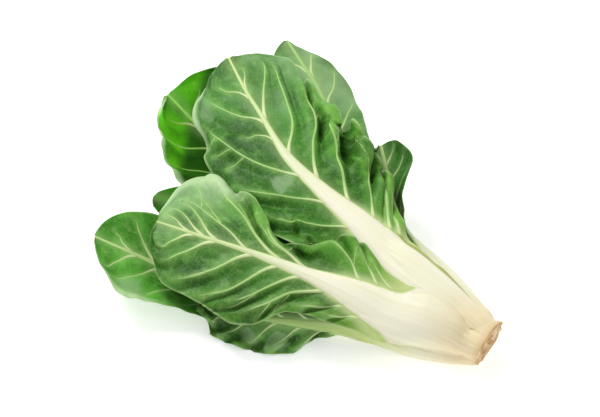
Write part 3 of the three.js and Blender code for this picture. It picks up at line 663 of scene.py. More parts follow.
class Blade:
    """A settled leaf on a fine grid, with its flat coordinates u along the midrib and v across it."""

    def __init__(self, leaf, surface, number):
        self.leaf, self.length, self.number = leaf, surface[3], number
        rows, columns = leaf["grid"]
        self.share = 1 - (1 - np.linspace(0, 1, rows)) ** FINE_TIP_CROWDING
        reach = np.linspace(0, 1, columns + 1) ** FINE_RIB_CROWDING
        self.r = np.concatenate([-reach[:0:-1], reach])
        at_row = (STATIONS - 1) * (1 - (1 - self.share) ** (1 / TIP_CROWDING))
        at_column = (COLUMNS - 1) / 2 * (1 + np.sign(self.r) * np.abs(self.r) ** (1 / RIB_CROWDING))
        a, b = resampler(at_row, STATIONS), resampler(at_column, COLUMNS)
        self.middle = np.einsum("ij,jkc,lk->ilc", a, surface[0], b)
        self.widen()
        self.u = np.repeat((self.share * self.length)[:, None], len(self.r), 1)
        self.v = self.flat_v(self.share[:, None], self.r[None, :])
        self.veins = self.make_veins()
        self.near = self.distance(self.u, self.v)
        self.shape()
        self.thicken()
        self.run_through_crown()

    def widen(self):
        """Lets a stalk's margins run on behind its neighbour's, so that no gap shows between them."""
        skirt = self.leaf.get("skirt", {})
        for sign, name, edge, inner in ((-1, "left", 0, 1), (1, "right", -1, -2)):
            extra = starting(skirt.get(name), self.share)
            out = self.middle[:, edge] - self.middle[:, inner]
            out = out / np.linalg.norm(out, axis=1, keepdims=True) * extra[:, None]
            self.middle += out[:, None] * (np.clip(self.r * sign, 0, 1) ** 4)[None, :, None]

    def widths(self, share):
        return half_width(self.leaf, "left", share), half_width(self.leaf, "right", share)

    def flat_v(self, share, r):
        left, right = self.widths(share)
        return r * np.where(r < 0, left, right)

    def rib_half(self, share):
        return profile(self.leaf["rib_width"])(share) / 2

    def make_veins(self):
        """Each vein is its flat points, its half width at each of them, and how strongly it shows."""
        rng = np.random.default_rng(self.number + 40)
        found = []
        self.phase = np.zeros_like(self.u)
        veins = self.leaf["veins"]
        for sign, name in SIDES:
            self.count_veins(sign, name)
            for start, end, reach, bow, *forks in veins[name]:
                t = np.linspace(0, 1, VEIN_POINTS)
                rib = self.rib_half(start)
                first = max(rib - VEIN_STARTS, 0.4 * rib) / half_width(self.leaf, name, start)
                r = first + (reach - first) * t
                share = start + (end - start) * t ** bow - 0.03 * (1 - t) ** 10
                share = share + 0.004 * np.sin(t * rng.uniform(7, 12) + rng.uniform(0, 6)) * t
                points = np.stack([share * self.length, self.flat_v(share, sign * r)], 1)
                size = (0.92 - 0.52 * t + 0.45 * (1 - t) ** 3) * min(1.0, 0.35 + reach * 0.8)
                size = size * veins.get("broad", (1, 1))[sign > 0]
                found.append((points, size, MAIN_VEIN))
                for at, to, out in (forks[0] if forks else []):
                    s = np.linspace(0, 1, FORK_POINTS)
                    leaves = np.interp(at, r, share)
                    along = leaves + (to - leaves) * s ** 1.2
                    across = self.flat_v(along, sign * (at + (out - at) * s))
                    found.append((np.stack([along * self.length, across], 1), 0.5 - 0.28 * s, FORK))
                self.twigs(found, points, size, rng, sign)
        return found

    def count_veins(self, sign, name):
        """phase grows by one from each main vein to the next, all over one half of the blade."""
        veins = sorted(v for v in self.leaf["veins"][name] if v[2] > 0.45)
        step = 0.09
        for j in np.nonzero(self.r * sign >= 0)[0]:
            r = abs(self.r[j])
            at = np.array([s + (e - s) * (r / reach) ** bow for s, e, reach, bow in (v[:4] for v in veins)])
            at = np.maximum.accumulate(at + 0.002 * np.arange(len(at)))
            at = np.concatenate([[at[0] - 2 * step, at[0] - step], at, [at[-1] + step, at[-1] + 2 * step]])
            self.phase[:, j] = np.interp(self.share, at, np.arange(len(at)))

    def twigs(self, found, points, size, rng, sign):
        """Fine side veins that leave a vein to either side and bend towards the margin."""
        run = np.linalg.norm(np.diff(points, axis=0), axis=1).sum()
        count = int(run / TWIG_SPACING)
        for k in range(count):
            at = (k + rng.uniform(0.7, 1.3)) / (count + 0.6)
            if at > 0.95:
                continue
            i = int(at * (len(points) - 2))
            ahead = points[i + 1] - points[i]
            angle = math.atan2(ahead[1], ahead[0]) + (1 if k % 2 else -1) * rng.uniform(0.55, 0.95)
            reach = rng.uniform(9, 19) * (1.15 - 0.5 * at)
            s = np.linspace(0, 1, TWIG_POINTS)
            bend = (sign * math.pi / 2 * 0.75 - angle) * 0.45
            headings = angle + bend * s
            steps = np.stack([np.cos(headings), np.sin(headings)], 1) * reach / (TWIG_POINTS - 1)
            path = points[i] + np.concatenate([[[0, 0]], np.cumsum(steps[:-1], axis=0)])
            share = np.clip(path[:, 0] / self.length, 0, 0.995)
            limit = np.abs(self.flat_v(share, np.full(TWIG_POINTS, float(sign))))
            if (np.abs(path[:, 1]) > limit * 0.97).any() or (path[:, 1] * sign < 1).any():
                continue
            found.append((path, (0.36 - 0.2 * s) * min(1, 0.5 + size[i] * 0.6), TWIG))

    def shape(self):
        """Waves, folds, creases and swellings, and how high they lift each place, where 0.5 is flat: the
        material paints light on the high places and shade on the low ones and in the pinched folds.
        """
        leaf, u, v, share, n = self.leaf, self.u, self.v, self.share[:, None], self.number
        r = np.abs(self.r)[None, :]
        self.green = green = smooth(0, 7, np.abs(v) - self.rib_half(share) * 0.8)
        (tall, size), (tall_margin, size_margin) = SLOW_WAVE, MARGIN_WAVE
        lift = (leaf["wave"] * tall * green * waves(n, u, v, size)
                + leaf["wave"] * tall_margin * green * r ** 3 * waves(n + 50, u, v * 0.4, size_margin, 2))
        self.crest = np.full_like(u, 0.5)
        for sign, name in SIDES:
            half = self.r * sign > 0
            if "fold" in leaf[name]:
                turn = 2 * np.pi * self.phase
                fold = starting(leaf[name]["fold"], share) * smooth(0.2, 0.95, r) * half
                fold = fold * np.cos(turn - FOLD_LEAN * np.sin(turn))
                lift = lift + fold
                self.crest = self.crest + fold / 18
            if name in leaf.get("crumple", {}):
                tall = starting(leaf["crumple"][name], share) * smooth(0.25, 0.8, r) * half
                crease = tall * (CREASE_TOP - np.abs(waves(n + 200, u, v, CREASE_SIZE, 2)) ** 0.8)
                lift = lift + crease
                self.crest = self.crest + crease / 5
        for at, reach, run, width, turn, depth in leaf.get("tucks", ()):
            du, dv = u - at * self.length, v - self.flat_v(at, reach)
            a = (du * math.cos(turn) + dv * math.sin(turn)) / run
            b = (dv * math.cos(turn) - du * math.sin(turn)) / width
            lift = lift + 2.3 * depth * b * np.exp(-a ** 2 - b ** 2)
            # painted shade in the pinched fold
            self.crest = self.crest - 0.6 * np.exp(-a ** 2 - 4 * (b + 0.3) ** 2)
        pillow = leaf["pillow"] * green * (1 - np.exp(-(self.near / PILLOW_REACH) ** 2))
        pillow = pillow * (0.75 + 0.5 * waves(n + 90, u, v, 28)) * np.clip((1 - r) * 5, 0, 1)
        self.middle = self.middle + normals_of(self.middle) * (lift - pillow)[..., None]

    def thicken(self):
        """The back and the face: a thin blade, a ridged rib, and a swelling along each vein."""
        share, r = self.share[:, None], np.abs(self.r)[None, :]
        half = self.rib_half(share)
        rib = profile(self.leaf["rib_thickness"])(share)
        within = np.maximum(0, 1 - (self.v / half) ** 2)
        thin = HALF_BLADE * (1 - 0.5 * smooth(0.75, 1, r)) + 0 * self.u
        ridges = 0
        for k, (count, phase) in enumerate(RIDGES):
            sway = 0.6 * np.sin(self.u / RIDGE_SWAY + k)
            ridges = ridges + np.cos(count * np.pi * self.v / half + phase + sway) / (1 + k * 0.5)
        ridges = ridges * RIDGE_HEIGHT * smooth(0, 0.5, within) * np.minimum(1, rib / 4)
        swell = SWELL * np.exp(-(self.near / SWELL_REACH) ** 2) * self.green * np.clip((1 - r) * 8, 0, 1)
        outer = thin + rib * RIB_BEHIND * within ** 0.72 + ridges + swell
        inner = thin + rib * RIB_BEFORE * within ** 1.2 - 0.4 * swell
        self.normal = normals_of(self.middle)
        self.back = self.middle + self.normal * outer[..., None]
        self.face = self.middle - self.normal * inner[..., None]
        for side in (self.back, self.face):
            side[..., 2] = np.maximum(side[..., 2], FLOOR_GAP)
            # The first row is carried on into the crown, so no other may pass it by more than 1 mm
            side[1:, :, 0] = np.minimum(side[1:, :, 0], side[0, :, 0].max() + 1)

    def run_through_crown(self):
        """Carries the stalk on along the crown to the cut, so that its section shows there."""
        reach = np.array(RUN_ON)[:, None]
        taper = 1 - 0.135 * (reach / reach[0]) ** 0.85
        limit = 26.5 - 0.65 * reach
        for name in ("back", "face"):
            side = getattr(self, name)
            ahead = np.repeat(side[:1], len(reach), axis=0)
            out = (ahead[..., 1:] - CROWN_AXIS) * taper[..., None]
            far = np.maximum(np.linalg.norm(out, axis=-1), 0.01)
            ahead[..., 1:] = CROWN_AXIS + out * np.minimum(1, limit / far)[..., None]
            ahead[..., 0] += reach
            ahead[..., 2] = np.maximum(ahead[..., 2], FLOOR_GAP)
            setattr(self, name, tilted(np.concatenate([ahead, side])))
        for name in ("normal", "near", "crest", "v"):
            rows = getattr(self, name)
            setattr(self, name, np.concatenate([np.repeat(rows[:1], len(reach), axis=0), rows]))
        self.u = np.concatenate([-reach + 0 * self.u[:1], self.u])
        self.share = np.concatenate([-reach[:, 0] / self.length, self.share])

    def distance(self, u, v):
        """Distance to the nearest main vein or fork, for a grid of flat points."""
        points = np.concatenate([path for path, _, strength in self.veins if strength > TWIG])
        flat = np.stack([np.ravel(u), np.ravel(v)], 1)
        best = np.full(len(flat), np.inf)
        batch = 64
        for start in range(0, len(points), batch):
            some = points[start:start + batch]
            best = np.minimum(best, ((flat[:, None, :] - some[None]) ** 2).sum(2).min(1))
        return np.sqrt(best).reshape(np.shape(u))

    def read(self, grid, u, v):
        """Values of one of the leaf's grids at flat points."""
        share = np.clip(u / self.length, 0, 1)
        left, right = self.widths(share)
        r = np.clip(v / np.where(v < 0, left, right), -1, 1)
        i = np.interp(share, self.share, np.arange(len(self.share)))
        j = np.interp(r, self.r, np.arange(len(self.r)))
        a, b = np.minimum(i.astype(int), len(self.share) - 2), np.minimum(j.astype(int), len(self.r) - 2)
        s, t = (i - a)[..., None], (j - b)[..., None]
        return (grid[a, b] * (1 - s) * (1 - t) + grid[a + 1, b] * s * (1 - t)
                + grid[a, b + 1] * (1 - s) * t + grid[a + 1, b + 1] * s * t)

    def tones(self, u, v, back, vein, distance, crest):
        """What the material reads at each vertex."""
        share = np.clip(u / self.length, 0, 1)
        half = self.rib_half(share)
        left, right = self.widths(share)
        return {
            "rib": np.clip((half - np.abs(v)) / (2.2 + 0.7 * half) + 0.5, 0, 1),
            "vein": vein,
            "pale": np.exp(-np.maximum(0, np.abs(v) - half) / PALE_REACH),
            "halo": np.exp(-distance / HALO_REACH),
            "crest": np.clip(crest, 0, 1),
            "back": back,
            "margin": np.clip(np.abs(v) / np.where(v < 0, left, right), 0, 1),
            "along": share,
            "flat_u": u / 1000,
            "flat_v": v / 1000,
        }

    def mesh(self):
        """Points, faces and tones of the whole leaf: one closed blade, and its veins on it."""
        rows, columns = self.u.shape
        count = rows * columns
        points = [self.back.reshape(-1, 3), self.face.reshape(-1, 3)]
        zero = np.zeros(count)
        flat = [a.ravel() for a in (self.u, self.v, self.near, self.crest)]
        tones = [self.tones(flat[0], flat[1], zero + back, zero, flat[2], flat[3]) for back in (1, 0)]
        grid = np.arange(count).reshape(rows, columns)
        a, b, c, d = grid[:-1, :-1], grid[:-1, 1:], grid[1:, 1:], grid[1:, :-1]
        quads = [np.stack([a, b, c, d], 2).reshape(-1, 4), np.stack([a, d, c, b], 2).reshape(-1, 4) + count]
        for loop in (grid[:, 0], grid[::-1, -1], grid[0, ::-1], grid[-1, :]):
            quads.append(np.stack([loop[:-1], loop[1:], loop[1:] + count, loop[:-1] + count], 1))
        base = 2 * count
        for vein in self.veins:
            p, q, t = self.ribbon(*vein)
            points.append(p)
            quads.append(q + base)
            tones.append(t)
            base += len(p)
        merged = {k: np.concatenate([t[k] for t in tones]) for k in tones[0]}
        return np.concatenate(points), np.concatenate(quads), merged

    def ribbon(self, path, size, strength):
        """A raised vein: a low closed strip that rides on both sides of the blade."""
        run = np.concatenate([[0], np.cumsum(np.linalg.norm(np.diff(path, axis=0), axis=1))])
        count = max(6, int(run[-1] / 2.2))
        s = np.linspace(0, run[-1], count)
        u, v = np.interp(s, run, path[:, 0]), np.interp(s, run, path[:, 1])
        w = np.interp(s, run, size) * 1.35
        du, dv = np.gradient(u), np.gradient(v)
        norm = np.hypot(du, dv)
        x = np.array([-1, -0.68, -0.34, 0, 0.34, 0.68, 1])  # across the strip
        uu = u[:, None] - (dv / norm * w)[:, None] * x
        vv = v[:, None] + (du / norm * w)[:, None] * x
        ends = smooth(0, 5 if strength == MAIN_VEIN else 3, s) * (1 - 0.8 * smooth(0.75, 1, s / run[-1]))
        clear = smooth(-1.5, 1.5, np.abs(vv) - self.rib_half(np.clip(uu / self.length, 0, 1)))
        sunk = 0.06 + 0.4 * (1 - clear)
        rise = (0.5 * w * (0.4 + 0.6 * strength) * ends)[:, None] * clear * (1 - x ** 2) ** 1.2 - sunk
        dent = (0.16 * w * strength * ends)[:, None] * clear * (1 - x ** 2) - sunk
        normal = self.read(self.normal, uu, vv)
        back = self.read(self.back, uu, vv) + normal * rise[..., None]
        face = self.read(self.face, uu, vv) - normal * dent[..., None]
        n = len(x)
        ring = np.arange(count * 2 * n).reshape(count, 2 * n)
        following = np.roll(ring, -1, axis=1)
        quads = np.stack([ring[:-1], ring[1:], following[1:], following[:-1]], 2).reshape(-1, 4)
        caps = [[ring[e, k], ring[e, k + 1], ring[e, 2 * n - 2 - k], ring[e, 2 * n - 1 - k]][::step]
                for e, step in ((0, 1), (-1, -1)) for k in range(n - 1)]
        across = np.concatenate([x, x[::-1]])
        mask = np.clip(strength * (1 - across ** 2), 0, 1) * np.ones((count, 1))
        mask = mask * (1 - 0.85 * smooth(0.7, 1, s / run[-1]))[:, None]
        is_back = np.concatenate([np.ones(n), np.zeros(n)]) * np.ones((count, 1))
        off = np.abs(across) * w[:, None] if strength > TWIG else np.full_like(mask, 1.5)
        flat = [np.concatenate([a, a[:, ::-1]], 1) for a in (uu, vv)]
        crest = self.read(self.crest[..., None], *flat)[..., 0]
        tones = self.tones(*(a.ravel() for a in (*flat, is_back, mask, off, crest)))
        points = np.concatenate([back, face[:, ::-1]], axis=1).reshape(-1, 3)
        return points, np.concatenate([quads, np.array(caps)]), tones


# ---- materials ----

class Nodes:
    """A material's node tree, built one node at a time."""

    def __init__(self, name):
        self.material = bpy.data.materials.new(name)
        self.material.use_nodes = True
        self.tree = self.material.node_tree
        self.tree.nodes.clear()

    def feed(self, slot, value):
        """Links a socket to an input, or sets the input's own value."""
        if isinstance(value, bpy.types.NodeSocket):
            self.tree.links.new(value, slot)
        else:
            slot.default_value = value

    def add(self, kind, out=0, settings=None, **inputs):
        """A new node's output. Inputs are named, or numbered as i0, i1 and so on."""
        node = self.tree.nodes.new("ShaderNode" + kind)
        for key, value in (settings or {}).items():
            setattr(node, key, value)
        for key, value in inputs.items():
            self.feed(node.inputs[int(key[1:]) if key[1:].isdigit() else key.replace("_", " ")], value)
        return node.outputs[out] if len(node.outputs) else None

    def read(self, name):
        return self.add("Attribute", 2, {"attribute_name": name})

    def math(self, operation, a, b, clamp=False):
        return self.add("Math", 0, {"operation": operation, "use_clamp": clamp}, i0=a, i1=b)

    def plus(self, a, b, clamp=False):
        return self.math("ADD", a, b, clamp)

    def minus(self, a, b):
        return self.math("SUBTRACT", a, b)

    def times(self, a, b):
        return self.math("MULTIPLY", a, b)

    def ramp(self, value, low, high, to_low=0.0, to_high=1.0):
        """A smooth step that is to_low at low and to_high at high."""
        return self.add("MapRange", 0, {"interpolation_type": "SMOOTHSTEP"},
                        i0=value, i1=low, i2=high, i3=to_low, i4=to_high)

    def mix(self, share, a, b, blend="MIX"):
        """Colour a turned into b, a socket or a hexadecimal code each, by share."""
        a, b = (srgb(c) if isinstance(c, int) else c for c in (a, b))
        return self.add("Mix", 2, {"data_type": "RGBA", "blend_type": blend}, i0=share, i6=a, i7=b)

    def tint(self, colour, other, value, low, high, most=1.0):
        """A colour that turns into the other by up to most, where a value goes from low to high."""
        return self.mix(self.ramp(value, low, high, 0.0, most), colour, other)

    def noise(self, where, scale, detail=3.0, roughness=0.55):
        return self.add("TexNoise", 0, None, Vector=where, Scale=scale, Detail=detail, Roughness=roughness)

    def place(self, **axes):
        return self.add("CombineXYZ", 0, None, **axes)

    def shift(self, operation, a, out=0, **inputs):
        return self.add("VectorMath", out, {"operation": operation}, i0=a, **inputs)

    def finish(self, constants, **inputs):
        """Ends the tree in a principled shader. constants are set on its own sockets."""
        shader = self.add("BsdfPrincipled", 0, None, **inputs)
        for name, value in constants.items():
            shader.node.inputs[name].default_value = value
        self.add("OutputMaterial", 0, None, Surface=shader)
        return self.material


def srgb(code):
    """The scene's linear colour for a hexadecimal one."""
    parts = [(code >> s & 255) / 255 for s in (16, 8, 0)]
    return (*[p / 12.92 if p <= 0.04045 else ((p + 0.055) / 1.055) ** 2.4 for p in parts], 1.0)


CREAM, IVORY, STRAW = 0xf0ecd6, 0xebe9cb, 0xe0deb2  # stalks
TAN, DEEP_TAN, SCAR = 0xead8ab, 0xe0c898, 0xcba676  # their feet
RIB_EDGE, RIB_TIP, OLIVE, LIP = 0xb4cc76, 0xb9d18a, 0xb8c85c, 0x98a03a
# Blade colours: the two fold colours are painted light and painted shade
DEEPENED, PAINTED_FOLD_LIGHT, PAINTED_FOLD_SHADE, SPECK = 0xa3b87e, 0x7aba40, 0x24500c, 0x1f3d14  # blades
# the wax and the spot colours are partly painted sheen and painted shadow
BLOOM_AND_SHEEN, PALE_SPOT_AND_SHEEN, DEEP_SPOT_AND_SHADOW, SHADED = 0xa9c39a, 0xa9c898, 0x1c4a0a, 0x1a4a0a
YOUNG, YOUNG_STREAK, BESIDE_STALK, YOUNGEST = 0x93c24a, 0x5c9430, 0xdde7b6, 0xd0da92
# the first margin colour is a painted sheen
ROLLED_SHEEN, EDGE = 0xc2dcaa, 0xb3cf8c  # their margins
VEIN, VEIN_FOOT, BESIDE_RIB = 0xbcda8e, 0xd9e3ac, 0xb9d08f
DRY_SKIN, CUT, CUT_PATCH, CUT_RIM, FIBRE = 0xd9b47e, 0xdfc498, 0xc29a69, 0xcfa877, 0x9a7248  # the crown
PAPER, PAPER_GRAIN = 0xf6f6f6, 0xf9f9f9  # the floor

FLESH = {  # light that travels inside a leaf or a stalk
    "Subsurface Weight": 0.12,
    "Subsurface Radius": (0.6, 1.0, 0.3),
    "Subsurface Scale": 0.002,
}


def stalk_colour(n, streaks, slow, u):
    """Cream with fine long streaks, which turns tan where the stalks meet the cut crown."""
    cream = n.tint(CREAM, IVORY, slow, 0.35, 0.7)
    cream = n.tint(cream, STRAW, streaks, 0.45, 0.8, 0.3)
    tan = n.tint(TAN, DEEP_TAN, streaks, 0.35, 0.7)
    reach = n.plus(u, n.times(streaks, 0.022))
    cream = n.tint(cream, tan, reach, 0.06, 0.012, 0.75)
    return n.tint(cream, SCAR, u, -0.0088, -0.0101, 0.85)


def leaf_material(name, leaf, seed):
    """A leaf's blade, veins and rib. What each leaf's keys say:

    greens     colours of the face, of the back, and what they pale to near a vein
    rib_green  how green the rib gets towards the tip
    sheen      how broad the painted sheen on the curled margin near the tip is, negative where it is on the left half
    olive      how olive the stalk is, and lip, how olive the margin of its right half is
    shade      a, b and c: a neighbour darkens the leaf where a * u + b * v is less than c, in metres
    spots      paler or deeper places, partly uneven tone and partly painted glossy sheen and painted shadow: u, v and radius in millimetres, and how strong, negative where deeper
    """
    face, back, light = leaf["greens"]
    finish = ("rib_green", "sheen", "olive", "lip", "gloss")
    rib_green, sheen, olive, lip, gloss = (leaf.get(key, 0) for key in finish)
    n = Nodes(name)
    u, v, side, along = n.read("flat_u"), n.read("flat_v"), n.read("back"), n.read("along")
    margin, halo, crest, near_rib = n.read("margin"), n.read("halo"), n.read("crest"), n.read("pale")
    at = n.place(X=u, Y=v, Z=seed)
    stretched = n.place(X=n.times(u, 0.06), Y=v, Z=seed + 3)
    broad = n.noise(at, 26, 2)
    medium = n.noise(at, 95, 4, 0.6)
    fine = n.noise(at, 900, 3, 0.6)
    streaks = n.noise(stretched, 420, 4, 0.65)

    # The blade: deep in patches and between the veins, with painted light on the fold tops and painted shade
    # in their troughs and on the back's left half; greyer towards the tip, a whitish wax that is partly a
    # painted sheen
    green = n.mix(side, face, back)
    deep = n.mix(1.0, green, DEEPENED, "MULTIPLY")
    patch_and_shade = n.plus(n.ramp(broad, 0.4, 0.62, 0, 0.7), n.ramp(along, 0.82, 0.55, 0, 0.3))
    # Painted shade: the back's left half is deeper
    patch_and_shade = n.plus(patch_and_shade, n.times(n.ramp(v, 0.02, -0.035, 0, 0.5), side))
    patch_and_shade = n.plus(patch_and_shade, n.ramp(halo, 0.3, 0.06, 0, 0.35))
    patch_and_shade = n.plus(patch_and_shade, n.times(n.minus(0.5, crest), 1.1), clamp=True)
    green = n.mix(patch_and_shade, green, deep)
    green = n.tint(green, light, medium, 0.48, 0.7, 0.25)
    # Painted light on the fold tops, painted shade in their troughs
    green = n.tint(green, PAINTED_FOLD_LIGHT, crest, 0.54, 0.95, 0.6)
    green = n.tint(green, PAINTED_FOLD_SHADE, crest, 0.42, 0.02, 0.75)
    # Towards the tip the back greys: a whitish wax, partly a painted sheen, with less of it on the left half
    # as painted shade
    bloom_and_sheen = n.times(n.ramp(along, 0.7, 0.97, 0, 0.4), n.ramp(broad, 0.6, 0.38, 0.25, 1))
    bloom_and_sheen = n.times(bloom_and_sheen, n.times(side, n.ramp(v, -0.005, 0.02, 0.15, 1)))
    green = n.mix(bloom_and_sheen, green, BLOOM_AND_SHEEN)

    # Spots: uneven tone, with some painted glossy sheen and painted shadow among them
    flat = n.place(X=u, Y=v)
    wander = n.times(n.minus(medium, 0.5), 0.03)
    for across, out, radius, strength in leaf.get("spots", ()):
        far = n.plus(n.shift("DISTANCE", flat, 1, i1=(across / 1000, out / 1000, 0)), wander)
        near = n.ramp(far, radius / 1000, radius / 3000, 0, abs(strength))
        green = n.mix(near, green, PALE_SPOT_AND_SHEEN if strength > 0 else DEEP_SPOT_AND_SHADOW)

    # Towards the stalk: yellower, then nearly cream
    young = n.tint(YOUNG, YOUNG_STREAK, streaks, 0.45, 0.62, 0.5)
    green = n.tint(green, young, along, 0.46, 0.26, 0.8)
    fade = n.times(n.ramp(near_rib, 0.5, 1.0), n.ramp(along, 0.5, 0.32, 0, 0.8))
    green = n.mix(fade, green, BESIDE_STALK)
    green = n.tint(green, YOUNGEST, along, 0.35, 0.23, 0.8)

    # The finest net of veins, specks, and a halo along the larger veins
    sway = n.shift("SCALE", n.add("TexNoise", 1, None, Vector=at, Scale=160.0), i3=0.004)
    cells = n.shift("ADD", at, i1=sway)
    net = n.add("TexVoronoi", 0, {"feature": "DISTANCE_TO_EDGE"}, Vector=cells, Scale=260.0)
    strand = n.ramp(net, 0.0, 0.1, 1, 0)
    green = n.mix(n.times(strand, 0.16), green, light)
    green = n.tint(green, SPECK, fine, 0.3, 0.75, 0.12)
    green = n.mix(n.times(n.ramp(halo, 0.3, 0.95), n.ramp(medium, 0.3, 0.7, 0.2, 0.45)), green, light)
    if "shade" in leaf:
        a, b, line = leaf["shade"]
        place = n.plus(n.times(u, a), n.times(v, b))
        green = n.mix(n.ramp(place, line, line - 0.012, 0, 0.85), green, SHADED)

    # The margin: a painted sheen on the curled margin towards the tip, with a thin light edge all round
    rolled_sheen = n.ramp(margin, 0.98 - 0.3 * abs(sheen), 1.0 - 0.1 * abs(sheen))
    rolled_sheen = n.times(rolled_sheen, n.ramp(along, 0.74, 0.86, 0, 0.65))
    rolled_sheen = n.times(rolled_sheen, n.ramp(n.times(v, math.copysign(1, sheen)), 0.004, 0.016))
    green = n.mix(rolled_sheen, green, ROLLED_SHEEN)
    green = n.tint(green, EDGE, margin, 0.955, 1.0, 0.5 - 0.3 * rib_green)

    # Veins, white where they leave the rib
    vein = n.mix(0.42, light, VEIN)
    vein = n.mix(n.times(n.ramp(near_rib, 0.15, 0.95), 1 - 0.7 * rib_green), vein, VEIN_FOOT)
    green = n.tint(green, BESIDE_RIB, near_rib, 0.35, 1.0, 0.2)
    colour = n.tint(green, vein, n.read("vein"), 0.05, 0.7, 0.88)

    # The rib: cream at the stalk, greener towards the tip
    cream = stalk_colour(n, streaks, n.noise(stretched, 90, 3, 0.6), u)
    cream = n.tint(cream, RIB_TIP, along, 0.42, 0.88, 0.85)
    olive = n.times(n.ramp(along, 0.12, 0.4, 0, olive), n.ramp(streaks, 0.3, 0.6, 0.4, 1))
    cream = n.mix(olive, cream, OLIVE)
    cream = n.tint(cream, light, along, 0.25, 0.6, rib_green)
    rib = n.plus(n.read("rib"), n.times(n.minus(streaks, 0.5), 0.2))
    rib = n.plus(rib, n.ramp(u, 0.075, 0.03))
    rim = n.ramp(rib, 0.3, 0.52)
    colour = n.tint(colour, light if rib_green > 0.5 else RIB_EDGE, rib, 0.3, 0.5)
    colour = n.tint(colour, cream, rib, 0.42, 0.66)
    lip = n.times(n.ramp(margin, 0.62, 0.76, 0, lip), n.ramp(v, 0, 0.004))
    colour = n.mix(n.times(lip, rim), colour, LIP)

    # Relief and gloss
    height = n.plus(n.plus(n.times(medium, 0.5), n.times(strand, 0.14)), n.times(fine, 0.12))
    height = n.plus(n.times(height, n.minus(1.0, rim)), n.times(streaks, n.times(rim, 0.5)))
    bump = n.add("Bump", 0, None, Strength=0.4, Distance=0.001, Height=height)
    dull = n.ramp(n.noise(at, 60, 3), 0.3, 0.7, 0.42, 0.58)
    shine = {"Specular IOR Level": 0.17 * gloss, "Coat Weight": 0.04 * gloss, "Coat Roughness": 0.25}
    return n.finish({**shine, **FLESH}, Base_Color=colour, Roughness=dull, Normal=bump)


def crown_material(name):
    """Skin that carries on from the stalks, and a rough, fibrous cut face."""
    n = Nodes(name)
    cut, ring, u = n.read("cut"), n.read("ring"), n.read("flat_u")
    place = n.add("TexCoord", 3)
    at = n.place(X=n.times(u, 0.06), Y=n.read("flat_v"), Z=11.0)
    coarse = n.noise(place, 130, 4, 0.65)
    fibre = n.noise(place, 620, 4, 0.7)
    skin = stalk_colour(n, n.noise(at, 420, 4, 0.65), n.noise(at, 90, 3, 0.6), u)
    skin = n.tint(skin, DRY_SKIN, u, -0.004, -0.0098, 0.6)
    face = n.tint(CUT, CUT_PATCH, coarse, 0.35, 0.7)
    face = n.tint(face, CUT_RIM, ring, 0.7, 0.97, 0.5)
    face = n.tint(face, FIBRE, fibre, 0.52, 0.74, 0.6)
    height = n.plus(n.times(coarse, 0.6), n.times(fibre, 0.4))
    height = n.times(height, n.ramp(cut, 0, 1, 0.25, 1))
    bump = n.add("Bump", 0, None, Strength=0.7, Distance=0.0016, Height=height)
    return n.finish({"Specular IOR Level": 0.3, **FLESH}, Base_Color=n.mix(cut, skin, face), Normal=bump,
                    Roughness=n.ramp(fibre, 0.3, 0.7, 0.55, 0.75))


# ---- the crown ----

CROWN_RADIUS = 23.8  # at its foot, where the stalks begin
CROWN_LOBES = ((3, 0.015, 0.7), (5, 0.02, 2.1), (8, 0.01, 4.4))  # number, height and phase, as in the part
CROWN_COLUMNS = 180
JOINT = -1.5  # where its skin leaves the stalks, x
RIM_RADIUS = 20.4
FLAP_ANGLE, FLAP_SPREAD = 0.62, 0.3  # of the proud flap at the rim, in radians
COLLARS = ((-9.5, -9, 6), (-6.5, -6.5, 3), (-4, -4, 1.6))  # x, where the stalks are read, depth in them
SKIN_STEPS = (0, 0.12, 0.25, 0.38, 0.5, 0.62, 0.74, 0.84, 0.92, 0.97)
FACE_STEPS = (0.94, 0.87, 0.78, 0.68, 0.57, 0.45, 0.33, 0.2, 0.08)


def frame_offset():
    """Where the crown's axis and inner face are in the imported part, from the crown's own box."""
    angle = 2 * np.pi * np.arange(40) / 40
    lobed = 1 + sum(share * np.cos(number * angle + phase) for number, share, phase in CROWN_LOBES)
    reach = CROWN_RADIUS * lobed * np.cos(angle)
    low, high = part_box("crown")
    y = (low.y + high.y) * 500 - (reach.max() + reach.min()) / 2 - CROWN_AXIS[0]
    return np.array([low.x * 1000, y, 0.0])


def feet_outline(feet, x, angle):
    """The radius of the bundle of stalks at x, at evenly spaced angles round the crown's axis."""
    count = len(angle)
    some = feet[np.abs(feet[:, 0] - x) < 1.6]
    y, z = some[:, 1] - CROWN_AXIS[0], some[:, 2] - CROWN_AXIS[1]
    slot = (np.arctan2(z, y) % (2 * np.pi) / (2 * np.pi) * count).astype(int) % count
    best = np.zeros(count)
    np.maximum.at(best, slot, np.hypot(y, z))
    known = best > CROWN_RADIUS * 0.7
    best = np.interp(angle, angle[known], best[known], period=2 * np.pi)
    best = np.max([np.roll(best, k) for k in (-1, 0, 1)], axis=0)
    for _ in range(2):
        best = (np.roll(best, 1) + 2 * best + np.roll(best, -1)) / 4
    return best


